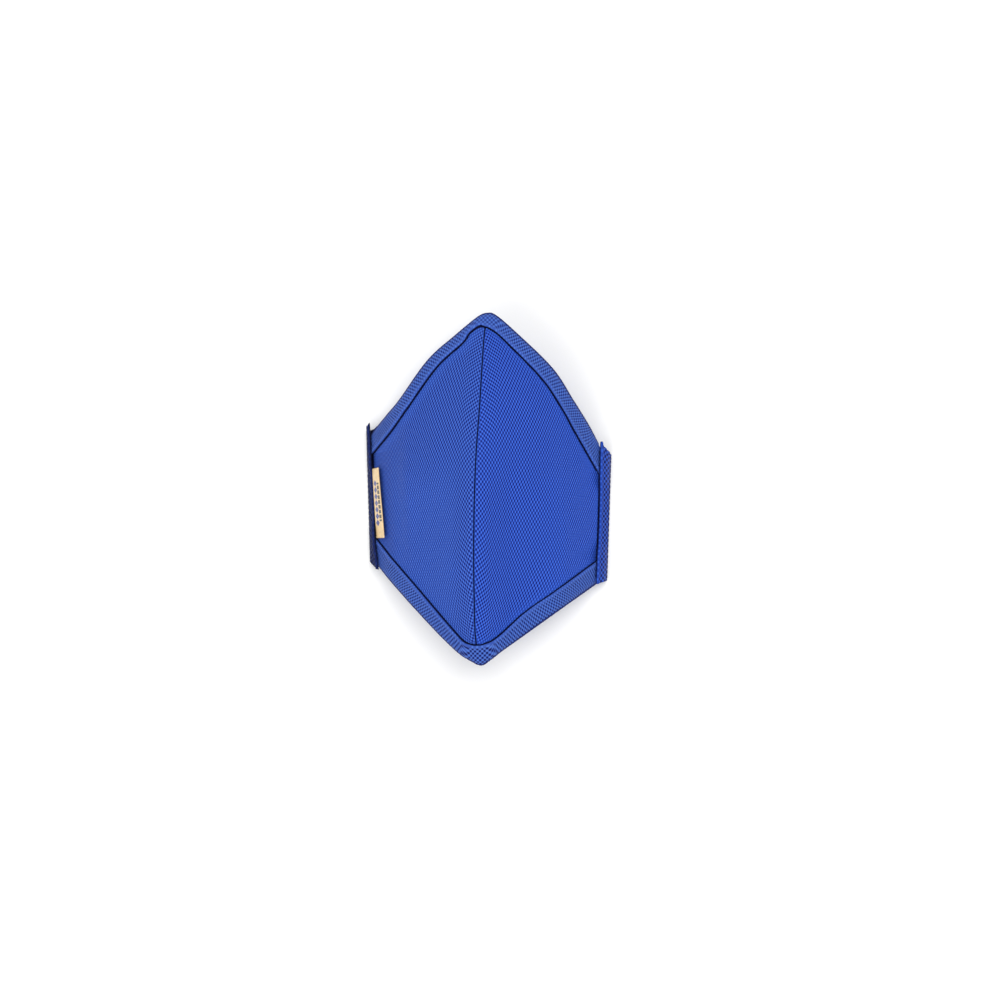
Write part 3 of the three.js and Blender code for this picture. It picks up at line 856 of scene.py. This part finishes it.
# Columns of marks on the label (mm): their middle and half width across the ribbon, the
# distance from mark to mark, and the column's half length and middle along it.
LOZENGES = {"centre": 3.3, "half_width": 2.2, "pitch": 2.6, "half_run": 9.1, "middle": 0.0}
BARS = {"centre": 7.3, "half_width": 2.0, "pitch": 1.9, "half_run": 7.6, "middle": 0.4}
# Distances from a mark's middle, as shares of its own size, where its ink ends and is full.
LOZENGE_EDGE = (1.1, 0.95)
LOZENGE_CORE = (0.0, 0.2)
BAR_EDGE = (0.85, 0.7)
SOFT = {"interpolation_type": "SMOOTHSTEP"}   # a Map Range that eases at both ends


def linear(hex_colour):
    """An sRGB hex colour as linear red, green and blue."""
    value = np.array([int(hex_colour[i:i + 2], 16) for i in (1, 3, 5)]) / 255
    light = np.where(value <= 0.04045, value / 12.92, ((value + 0.055) / 1.055) ** 2.4)
    return tuple(light.tolist())


def darker(colour, share):
    """A colour times a share of its light."""
    return (*(share * part for part in colour[:3]), 1.0)


def add(tree, kind, inputs=None, **settings):
    """Adds a node with its settings. Each input is a node or socket to link, or a value.

    Inputs 1 to 4 of a Map Range are the two ends of the range read and of the range given.
    """
    node = tree.nodes.new("ShaderNode" + kind)
    for name, value in settings.items():
        setattr(node, name, value)
    for socket, source in (inputs or {}).items():
        if isinstance(source, bpy.types.Node):
            source = source.outputs[0]
        if isinstance(source, bpy.types.NodeSocket):
            tree.links.new(source, node.inputs[socket])
        else:
            node.inputs[socket].default_value = source
    return node


def new_material(name):
    """An empty material and its tree."""
    material = bpy.data.materials.new(name)
    material.use_nodes = True
    material.node_tree.nodes.clear()
    return material, material.node_tree


def uv_parts(tree, name):
    """A UV map of the piece, whole and in its two parts."""
    uv = add(tree, "UVMap", uv_map=name)
    return uv, add(tree, "SeparateXYZ", {0: uv})


def mixed(tree, factor, first, second):
    """Colour between two, by a factor."""
    return add(tree, "Mix", {0: factor, 6: first, 7: second}, data_type="RGBA").outputs[2]


def shaded(tree, colour, amounts):
    """A colour made lighter and darker by noises: amounts are (noise, swing) pairs."""
    low, high = NOISE_MIDDLE
    for noise, swing in amounts:
        factor = add(tree, "MapRange", {0: noise, 1: low, 2: high, 3: 1 - swing, 4: 1 + swing})
        colour = add(tree, "HueSaturation", {"Value": factor, "Color": colour})
    return colour


def finish(tree, relief, strength, depth, looks):
    """Ends a material: its relief as bump of a depth in mm, its shader and its output."""
    bumped = add(tree, "Bump",
                 {"Height": relief, "Strength": strength, "Distance": depth * MM})
    shader = add(tree, "BsdfPrincipled", {"Normal": bumped, **looks})
    add(tree, "OutputMaterial", {"Surface": shader})


def knit_lattice(tree, wale, course):
    """cos(u) times cos(v), each turned by its repeat: near 1 in the knit's holes."""
    uv, part = uv_parts(tree, CLOTH_UV)
    waves = []
    for socket, repeat in ((0, wale), (1, course)):
        turn = add(tree, "Math", {0: part.outputs[socket], 1: 2 * np.pi / repeat},
                   operation="MULTIPLY")
        waves.append(add(tree, "Math", {0: turn}, operation="COSINE"))
    return add(tree, "Math", dict(enumerate(waves)), operation="MULTIPLY"), uv


def knitted_mesh(name, colours, knit, depth, roughness, fold_shade=None):
    """Warp-knitted polyester mesh, dyed, its filament yarn slightly glossy.

    The eye gets rows of small dark holes in brick order between broad light strands, their
    crests lit by a painted highlight, a soft sheen on the strands, slow changes of shade from
    handling, and along each sewn line a smooth lighter roll beside a dark crease of painted
    shade. Tape is darker along its fold, painted shade of the edge turning from the light with
    some darker yarn, from the fold to the first of two distances, and fades to the second.
    """
    yarn, crest, hole = colours
    material, tree = new_material(name)
    lattice, uv = knit_lattice(tree, *knit)
    edge = uv_parts(tree, EDGE_UV)[1]
    place = add(tree, "TexCoord")
    slow = add(tree, "TexNoise", {"Vector": place.outputs["Object"],
                                  "Scale": 1 / (DYE_CLOUD * MM), "Detail": 3.0, "Roughness": 0.5})
    quick = add(tree, "TexNoise",
                {"Vector": uv, "Scale": 1 / YARN_CLOUD, "Detail": 2.0, "Roughness": 0.6})
    # Holes close where handling has drawn the yarn together, and in the roll beside a seam.
    open_share = add(tree, "MapRange", {0: slow, **OPENING})
    past_roll = add(tree, "MapRange", {0: edge, 1: ROLL[0], 2: ROLL[1]})
    hole_mask = add(tree, "MapRange", {0: lattice, 1: HOLE_EDGE[0], 2: HOLE_EDGE[1]}, **SOFT)
    for share in (open_share, past_roll, edge.outputs[1]):
        hole_mask = add(tree, "Math", {0: hole_mask, 1: share}, operation="MULTIPLY")
    # The strands' crests are lighter: a painted highlight on the raised yarn.
    crest_highlight = add(tree, "MapRange", {0: lattice, 1: CREST_EDGE[0], 2: CREST_EDGE[1]}, **SOFT)
    strand = mixed(tree, crest_highlight, yarn, crest)
    strand = shaded(tree, strand, zip((slow, quick), CLOTH_SWINGS))
    colour = mixed(tree, hole_mask, strand, hole)
    if fold_shade:
        # Painted shade along the fold, where the edge turns away from the light, with some darker
        # yarn.
        full, gone = fold_shade
        fold = add(tree, "MapRange", {0: uv_parts(tree, FOLD_UV)[1], 1: gone, 2: full, 3: 0.0,
                                      4: FOLD_PAINTED_SHADE}, **SOFT)
        colour = mixed(tree, fold, colour, hole)
    # Painted shade: dark in the crease along each sewn line, where the ditch lies in shade.
    crease_shade = add(tree, "MapRange", {0: edge, 1: CREASE_PAINTED_SHADE[0], 2: CREASE_PAINTED_SHADE[1]}, **SOFT)
    colour = mixed(tree, crease_shade, colour, darker(hole, CREASE_SHADE_LIGHT))
    fibre = add(tree, "Math", {0: quick, 1: FIBRE_HEIGHT}, operation="MULTIPLY")
    relief = add(tree, "Math", {0: fibre, 1: hole_mask}, operation="SUBTRACT")
    finish(tree, relief, 0.5, depth,
           {"Base Color": colour, "Roughness": roughness, "IOR": 1.5,
            "Specular IOR Level": 0.12, "Sheen Weight": 0.03, "Sheen Roughness": 0.4})
    return material


def column_of_marks(tree, part, lozenge, centre, half_width, pitch, half_run, middle):
    """A column of small printed marks along the ribbon: 1 on the ink, 0 on the satin.

    Each mark is a lozenge ring or a bar, by the distance from the middle of its own cell.
    """
    across = part.outputs[0]
    for operation, value in (("SUBTRACT", centre), ("ABSOLUTE", 0.0), ("DIVIDE", half_width)):
        across = add(tree, "Math", {0: across, 1: value}, operation=operation)
    run = add(tree, "Math", {0: part.outputs[1], 1: middle}, operation="SUBTRACT")
    along = run
    for operation in ("PINGPONG", "DIVIDE"):
        along = add(tree, "Math", {0: along, 1: pitch / 2}, operation=operation)
    away = add(tree, "Math", {0: across, 1: along},
               operation="ADD" if lozenge else "MAXIMUM")
    end, full = LOZENGE_EDGE if lozenge else BAR_EDGE
    ink = add(tree, "MapRange", {0: away, 1: end, 2: full}, **SOFT)
    if lozenge:
        end, full = LOZENGE_CORE
        core = add(tree, "MapRange", {0: away, 1: end, 2: full}, **SOFT)
        ink = add(tree, "Math", {0: ink, 1: core}, operation="MULTIPLY")
    run = add(tree, "Math", {0: run}, operation="ABSOLUTE")
    inside = add(tree, "Math", {0: run, 1: half_run}, operation="LESS_THAN")
    return add(tree, "Math", {0: ink, 1: inside}, operation="MULTIPLY")


def satin_ribbon(name, satin, blue_ink, dark_ink):
    """Polyester satin ribbon, woven, calendered and printed.

    The eye gets a smooth warm beige with a long soft gleam, fine ribs along the ribbon, and
    two columns of small plain marks.
    """
    material, tree = new_material(name)
    uv, part = uv_parts(tree, CLOTH_UV)
    rib = add(tree, "Math", {0: part.outputs[1], 1: 2 * np.pi / RIBBON_RIB}, operation="MULTIPLY")
    rib = add(tree, "Math", {0: rib}, operation="SINE")
    cloud = add(tree, "TexNoise", {"Vector": uv, "Scale": 1 / RIBBON_CLOUD, "Detail": 4.0})
    colour = shaded(tree, satin, [(cloud, RIBBON_SWING)])
    colour = mixed(tree, column_of_marks(tree, part, True, **LOZENGES), colour, blue_ink)
    colour = mixed(tree, column_of_marks(tree, part, False, **BARS), colour, dark_ink)
    relief = add(tree, "Math", {0: rib, 1: cloud}, operation="ADD")
    finish(tree, relief, 0.25, RIBBON_RELIEF,
           {"Base Color": colour, "Roughness": 0.38, "IOR": 1.5, "Anisotropic": 0.4})
    return material


def sewing_thread(name, colour):
    """Spun polyester sewing thread, two plies twisted.

    The eye gets a dark, slightly fuzzy line with fine ribs slanting across it.
    """
    material, tree = new_material(name)
    part = uv_parts(tree, CLOTH_UV)[1]
    twist = add(tree, "Math", {0: part.outputs[0], 1: part.outputs[1]}, operation="ADD")
    twist = add(tree, "Math", {0: twist, 1: 2 * np.pi / THREAD_RIB}, operation="MULTIPLY")
    twist = add(tree, "Math", {0: twist}, operation="SINE")
    level = add(tree, "MapRange", {0: twist, 1: -1.0, 2: 1.0})
    finish(tree, twist, 0.5, THREAD_RELIEF,
           {"Base Color": mixed(tree, level, darker(colour, PLY_LIGHT), colour),
            "Roughness": 0.75, "Specular IOR Level": 0.15})
    return material


def painted_board(name, colour):
    """Board painted matt white, rolled: an even pale ground with a faint roller grain."""
    material, tree = new_material(name)
    place = add(tree, "TexCoord")
    grain = add(tree, "TexNoise", {"Vector": place.outputs["Object"],
                                   "Scale": 1 / (ROLLER_GRAIN * MM), "Detail": 2.0})
    finish(tree, grain, 0.05, BOARD_RELIEF, {"Base Color": colour, "Roughness": 0.9})
    return material


# ---- Settings that a user would change ----


def length_property(name, description, default):
    """A length in metres, given here in millimetres."""
    return bpy.props.FloatProperty(name=name, description=description, default=default * MM,
                                   min=0.0, unit="LENGTH", precision=5)


def colour_property(name, description, default):
    """A colour, given here as sRGB hex."""
    return bpy.props.FloatVectorProperty(name=name, description=description, subtype="COLOR",
                                         default=linear(default), min=0.0, max=1.0)


class MaskSizes(bpy.types.PropertyGroup):
    """Sizes of the knit and of the sewing."""

    panel_wale: length_property("Panel wale", "Repeat of the panels' knit across", 1.3)
    panel_course: length_property("Panel course", "Repeat of the panels' knit along", 2.1)
    tape_wale: length_property("Tape wale", "Repeat of the tapes' knit along the tape", 1.33)
    tape_course: length_property("Tape course", "Repeat of the tapes' knit across the tape", 2.0)
    hole_depth: length_property("Hole depth", "Depth of the panels' holes", 0.25)
    casing_wale: length_property("Casing wale", "Repeat of the casings' knit across", 2.6)
    tape_hole_depth: length_property("Tape hole depth", "Depth of the tapes' holes", 0.12)
    stitch_pitch: length_property("Stitch pitch", "Distance from stitch to stitch", 2.3)
    stitch_length: length_property("Stitch length", "Thread that shows in one stitch", 2.1)
    thread: length_property("Thread", "Thickness of the sewing thread", 0.22)


class MaskColours(bpy.types.PropertyGroup):
    """Colours of cloth, thread, label and ground."""

    # The left and right shades are one mesh, painted greyer or darker as the light falls on each
    # half.
    left_yarn: colour_property("Left yarn", "Left panel's yarn between the holes", "#2b4ba8")
    # Crest colours are a painted highlight on the strands.
    left_crest: colour_property("Left crest", "Left panel's strands", "#4670d0")
    right_yarn: colour_property("Right yarn", "Right panel's yarn between the holes", "#2547ae")
    right_crest: colour_property("Right crest", "Right panel's strands", "#3f6ddc")
    hole: colour_property("Hole", "Depth of the panels' holes", "#030a62")
    tape_yarn: colour_property("Tape yarn", "Tape yarn between the holes", "#3552a6")
    tape_crest: colour_property("Tape crest", "Tape yarn where the strands cross", "#4b71c6")
    tape_hole: colour_property("Tape hole", "Depth of the tapes' holes", "#050f54")
    # Casing colours are the tape's mesh with painted shade: the right a little darker, the left a
    # much darker navy, as the light falls on each cheek.
    shaded_right_casing_yarn: colour_property("Casing yarn", "Right casing's yarn", "#1e409e")
    shaded_right_casing_crest: colour_property("Casing crest", "Right casing's strands", "#3059c2")
    shaded_right_casing_hole: colour_property("Casing hole", "Right casing's holes", "#050f52")
    shaded_left_casing_yarn: colour_property("Dark yarn", "Left casing's yarn, a darker navy", "#0e1d52")
    shaded_left_casing_crest: colour_property("Dark crest", "Left casing's strands", "#172a67")
    shaded_left_casing_hole: colour_property("Dark hole", "Left casing's holes", "#040826")
    # The thread is nearly black: its own navy, and painted shade of the ditch it lies in.
    thread: colour_property("Thread", "Sewing thread", "#02041c")
    satin: colour_property("Satin", "Label ribbon", "#eecd98")
    blue_ink: colour_property("Blue ink", "First column of marks on the label", "#0e3590")
    dark_ink: colour_property("Dark ink", "Second column of marks on the label", "#0c0b08")
    ground: colour_property("Ground", "Floor that the mask lies on", "#fcfcfb")


def sizes():
    """The mask's sizes, as millimetres by name."""
    group = bpy.context.scene.mask_sizes
    return {name: getattr(group, name) / MM for name in MaskSizes.__annotations__}


def colours():
    """The mask's colours by name, with their alpha."""
    group = bpy.context.scene.mask_colours
    return {name: (*getattr(group, name), 1.0) for name in MaskColours.__annotations__}


# ---- Operators ----

# Flat cuts of the bindings' cloth (m): across and along.
TOP_FLAT = (0.0155, 0.155)
BOTTOM_FLAT = (0.018, 0.135)
# How far a finished piece's box may be from its solid's (mm).
PANEL_SLACK = 4.5
TAPE_SLACK = 5.0
LABEL_SLACK = 2.0
MESH_ROUGHNESS = 0.62
TAPE_ROUGHNESS = 0.68
# Tapes: radius of the fold, and how far from it the painted fold shade is darkest and is gone (mm).
BINDING_FOLD = 0.95
BINDING_FOLD_SHADE = (1.5, 2.1)
CASING_FOLD = 1.2
CASING_FOLD_SHADE = (2.0, 2.9)
CASING_HOLES = 1.5            # strength of the casings' holes
BINDING_SHEAR = 0.35          # lean of the bindings' knit halfway to each end, in wales a mm
WEAK_TIP = {"top": 0.45, "bottom": -0.6}  # how much weaker holes are at the tip (- is stronger)
WEAK_REACH = 0.35             # share of the way to the end over which that fades
LEFT_END_SHADE = (-0.78, -1.0)     # ways to the left end between which they grow twice as plain, a painted shade there
# Frayed corners: depth from the fold, length and width of each spike (mm).
SPIKES = {"left": ((2.6, 1.3, 0.8), (6.8, 1.8, 0.9)), "right": ((8.6, 0.9, 0.9),)}


class MASK_OT_panels(bpy.types.Operator):
    """Make the two halves of knitted mesh"""

    bl_idname = "mask.panels"
    bl_label = "Panels"

    def execute(self, context):
        size, colour = sizes(), colours()
        knit = (size["panel_wale"], size["panel_course"])
        for side in ROW_LEAN:
            # The two halves are one mesh in two painted shades: the left greyer, as the light's
            # sheen falls on it, and each lightened or darkened as the light falls on its half.
            yarns = (colour[side + "_yarn"], colour[side + "_crest"], colour["hole"])
            cloth = knitted_mesh("knitted_polyester_mesh_" + side, yarns, knit,
                                 size["hole_depth"], MESH_ROUGHNESS)
            piece = panel(side, *knit, size["hole_depth"], cloth)
            stands_for(piece, "panel_" + side, PANEL_SLACK)
        return {"FINISHED"}


def way_from_tip(rows, at):
    """-1 at a binding's left end, 0 at its tip and 1 at its right end."""
    tip, count = tip_row(rows), len(rows["x"]) - 1
    return np.where(at < tip, (at - tip) / tip, (at - tip) / (count - tip))


class MASK_OT_bindings(bpy.types.Operator):
    """Make the folded tapes along the nose and chin edges"""

    bl_idname = "mask.bindings"
    bl_label = "Bindings"

    def execute(self, context):
        size, colour = sizes(), colours()
        knit = (size["tape_wale"], size["tape_course"])
        cloth = knitted_mesh("mesh_binding_tape",
                             (colour["tape_yarn"], colour["tape_crest"], colour["tape_hole"]),
                             knit, size["tape_hole_depth"], TAPE_ROUGHNESS, BINDING_FOLD_SHADE)
        for end, rows, flat in (("top", TOP_TAPE, TOP_FLAT), ("bottom", BOTTOM_TAPE, BOTTOM_FLAT)):

            def shear(at, rows=rows):
                return -BINDING_SHEAR * knit[0] * np.sin(np.pi * way_from_tip(rows, at))

            def strength(at, rows=rows, weak=WEAK_TIP[end]):
                way = way_from_tip(rows, at)
                # Holes twice as strong at the left end: painted shade, as on the left casing.
                return 1.0 - weak * bump(way, WEAK_REACH) + smooth(*LEFT_END_SHADE, way)

            name = end + "_binding"
            shape = {"fold_radius": BINDING_FOLD, "tuck": END_TUCK, "lift": no_lift,
                     "shear": shear, "strength": strength, "has_tip": True}
            piece = folded_tape(name, rows, knit, size["tape_hole_depth"], shape, cloth)
            stands_for(piece, name, TAPE_SLACK)
        return {"FINISHED"}


class MASK_OT_casings(bpy.types.Operator):
    """Make the folded casings down the cheeks, with their open channels"""

    bl_idname = "mask.casings"
    bl_label = "Casings"

    def execute(self, context):
        size, colour = sizes(), colours()
        # The cheek's slope would hide a knit of the panels' width, so it is drawn as coarse
        # as it needs to show.
        knit = (size["panel_course"], size["casing_wale"])
        # Each casing gets its own painted shade of the tape's mesh.
        shades = {"left": ("shaded_left_casing_yarn", "shaded_left_casing_crest", "shaded_left_casing_hole"),
                  "right": ("shaded_right_casing_yarn", "shaded_right_casing_crest", "shaded_right_casing_hole")}
        for side, rows in CASINGS.items():
            name = "casing_" + side
            cloth = knitted_mesh("mesh_casing_tape_" + side, [colour[part] for part in shades[side]],
                                 knit, size["tape_hole_depth"], TAPE_ROUGHNESS, CASING_FOLD_SHADE)
            shape = {"fold_radius": CASING_FOLD, "tuck": 0.0, "lift": over_bindings(side, rows),
                     "shear": np.zeros_like, "has_tip": False, "spikes": SPIKES[side],
                     "strength": lambda at: np.full_like(at, CASING_HOLES)}
            piece = folded_tape(name, rows, knit, size["tape_hole_depth"], shape, cloth)
            stands_for(piece, name, TAPE_SLACK)
        return {"FINISHED"}


class MASK_OT_label(bpy.types.Operator):
    """Make the folded ribbon label at the left casing"""

    bl_idname = "mask.label"
    bl_label = "Label"

    def execute(self, context):
        colour = colours()
        ribbon = satin_ribbon("printed_satin_ribbon", colour["satin"], colour["blue_ink"],
                              colour["dark_ink"])
        piece = label_piece(ribbon)
        stands_for(piece, "label", LABEL_SLACK)
        return {"FINISHED"}


class MASK_OT_stitches(bpy.types.Operator):
    """Make the thread of the seam, the bindings and the casings"""

    bl_idname = "mask.stitches"
    bl_label = "Stitches"

    def execute(self, context):
        size, colour = sizes(), colours()
        thread = sewing_thread("polyester_sewing_thread", colour["thread"])
        stitch = (size["stitch_pitch"], size["stitch_length"], size["thread"])
        y = np.linspace(*SEAM_SEWN, SEAM_SAMPLES)
        x = seam_x(y)
        seam = stitch_row(surface(x, y, SEAM_THREAD_OFF), normal(x, y), *stitch, SEAM_SLANT)
        front = PANEL_WALL / 2 + THREAD_OUT
        back = -(PANEL_WALL / 2 + TAPE_GAP + TAPE_PLY + THREAD_IN)
        lines = {"seam_stitches": [seam], "binding_stitches": [], "casing_stitches": []}
        sewn = [("binding_stitches", rows, -END_TUCK, no_lift) for rows in (TOP_TAPE, BOTTOM_TAPE)]
        sewn += [("casing_stitches", rows, CASING_END, over_bindings(side, rows))
                 for side, rows in CASINGS.items()]
        for group, rows, start, lift in sewn:
            at = np.linspace(start, len(rows["x"]) - 1 - start, SEWN_SAMPLES)
            for inset, off in zip(THREAD_INSETS, (front, back)):
                path, up = sewn_path(rows, at, inset, off, lift(at))
                lines[group].append(stitch_row(path, np.sign(off) * up, *stitch, STITCH_SLANT))
        for name, parts in lines.items():
            points, triangles, uv = joined(parts)
            new_piece(name, points, triangles, uv, np.ones_like(uv), thread)
        return {"FINISHED"}


CAMERA_TARGET = Vector((0.0070, -0.0041, 0.0200))
CAMERA_DISTANCE = 0.7
FRAME_WIDTH = 0.386           # width seen at the target
SENSOR_WIDTH = 36.0
CAMERA_CLIP = (0.01, 20.0)
LEAN_RIGHT = 6.5              # degrees that the camera stands right of straight overhead
LEAN_TO_CHIN = 2.0            # and towards the chin
FLOOR_HALF = 2.0
FLOOR_LEVEL = -0.0002         # just below the folds, so that the two don't flicker
# Square soft lights: place and size in metres, and power in watts.
LIGHTS = (("key", (0.20, 0.22, 1.1), 0.6, 6.4), ("fill", (-0.28, -0.62, 1.0), 0.8, 4.0))
SKY = 0.65                    # strength of the white light from all round


class MASK_OT_stage(bpy.types.Operator):
    """Make the camera, the floor and the lights"""

    bl_idname = "mask.stage"
    bl_label = "Stage"

    def execute(self, context):
        scene = context.scene
        camera = bpy.data.objects.new("camera", bpy.data.cameras.new("camera"))
        camera.data.sensor_width = SENSOR_WIDTH
        camera.data.lens = SENSOR_WIDTH * CAMERA_DISTANCE / FRAME_WIDTH
        camera.data.clip_start, camera.data.clip_end = CAMERA_CLIP
        back = Vector((np.sin(np.radians(LEAN_RIGHT)), -np.sin(np.radians(LEAN_TO_CHIN)), 0.0))
        back.z = np.sqrt(1 - back.length_squared)
        right = Vector((0, 1, 0)).cross(back).normalized()
        turn = Matrix((right, back.cross(right), back)).transposed()
        place = Matrix.Translation(CAMERA_TARGET + back * CAMERA_DISTANCE)
        camera.matrix_world = place @ turn.to_4x4()
        scene.collection.objects.link(camera)
        scene.camera = camera

        mesh = bpy.data.meshes.new("floor")
        corners = [(x * FLOOR_HALF, y * FLOOR_HALF, FLOOR_LEVEL)
                   for x, y in ((-1, -1), (1, -1), (1, 1), (-1, 1))]
        mesh.from_pydata(corners, [], [(0, 1, 2, 3)])
        mesh.materials.append(painted_board("matt_painted_board", colours()["ground"]))
        floor = bpy.data.objects.new("floor", mesh)
        scene.collection.objects.link(floor)

        for name, place, size, power in LIGHTS:
            lamp = bpy.data.lights.new(name, "AREA")
            lamp.size = size
            lamp.energy = power
            holder = bpy.data.objects.new(name, lamp)
            holder.location = place
            holder.rotation_euler = Vector(place).to_track_quat("Z", "Y").to_euler()
            scene.collection.objects.link(holder)
        world = bpy.data.worlds.new("studio")
        world.use_nodes = True
        sky = world.node_tree.nodes["Background"]
        sky.inputs["Color"].default_value = (1, 1, 1, 1)
        sky.inputs["Strength"].default_value = SKY
        scene.world = world
        scene.view_settings.view_transform = "Standard"
        return {"FINISHED"}


class MASK_PT_sidebar(bpy.types.Panel):
    """Lists the mask's pieces, sizes and colours"""

    bl_idname = "MASK_PT_sidebar"
    bl_label = "Child Respirator Mask"
    bl_space_type = "VIEW_3D"
    bl_region_type = "UI"
    bl_category = "Mask"

    def draw(self, context):
        for group, kind in ((context.scene.mask_sizes, MaskSizes),
                            (context.scene.mask_colours, MaskColours)):
            column = self.layout.column()
            for name in kind.__annotations__:
                column.prop(group, name)
        for operator in OPERATORS:
            self.layout.operator(operator.bl_idname)


OPERATORS = (MASK_OT_stage, MASK_OT_panels, MASK_OT_bindings, MASK_OT_casings, MASK_OT_label,
             MASK_OT_stitches)
CLASSES = (MaskSizes, MaskColours, *OPERATORS, MASK_PT_sidebar)


def register():
    """Adds the classes and the settings."""
    for cls in CLASSES:
        bpy.utils.register_class(cls)
    bpy.types.Scene.mask_sizes = bpy.props.PointerProperty(type=MaskSizes)
    bpy.types.Scene.mask_colours = bpy.props.PointerProperty(type=MaskColours)


def unregister():
    """Takes them away again."""
    del bpy.types.Scene.mask_colours
    del bpy.types.Scene.mask_sizes
    for cls in reversed(CLASSES):
        bpy.utils.unregister_class(cls)


def main():
    register()
    bpy.ops.mask.stage()
    bpy.ops.mask.panels()
    bpy.ops.mask.bindings()
    bpy.ops.mask.casings()
    bpy.ops.mask.label()
    bpy.ops.mask.stitches()


if __name__ == "__main__":
    main()
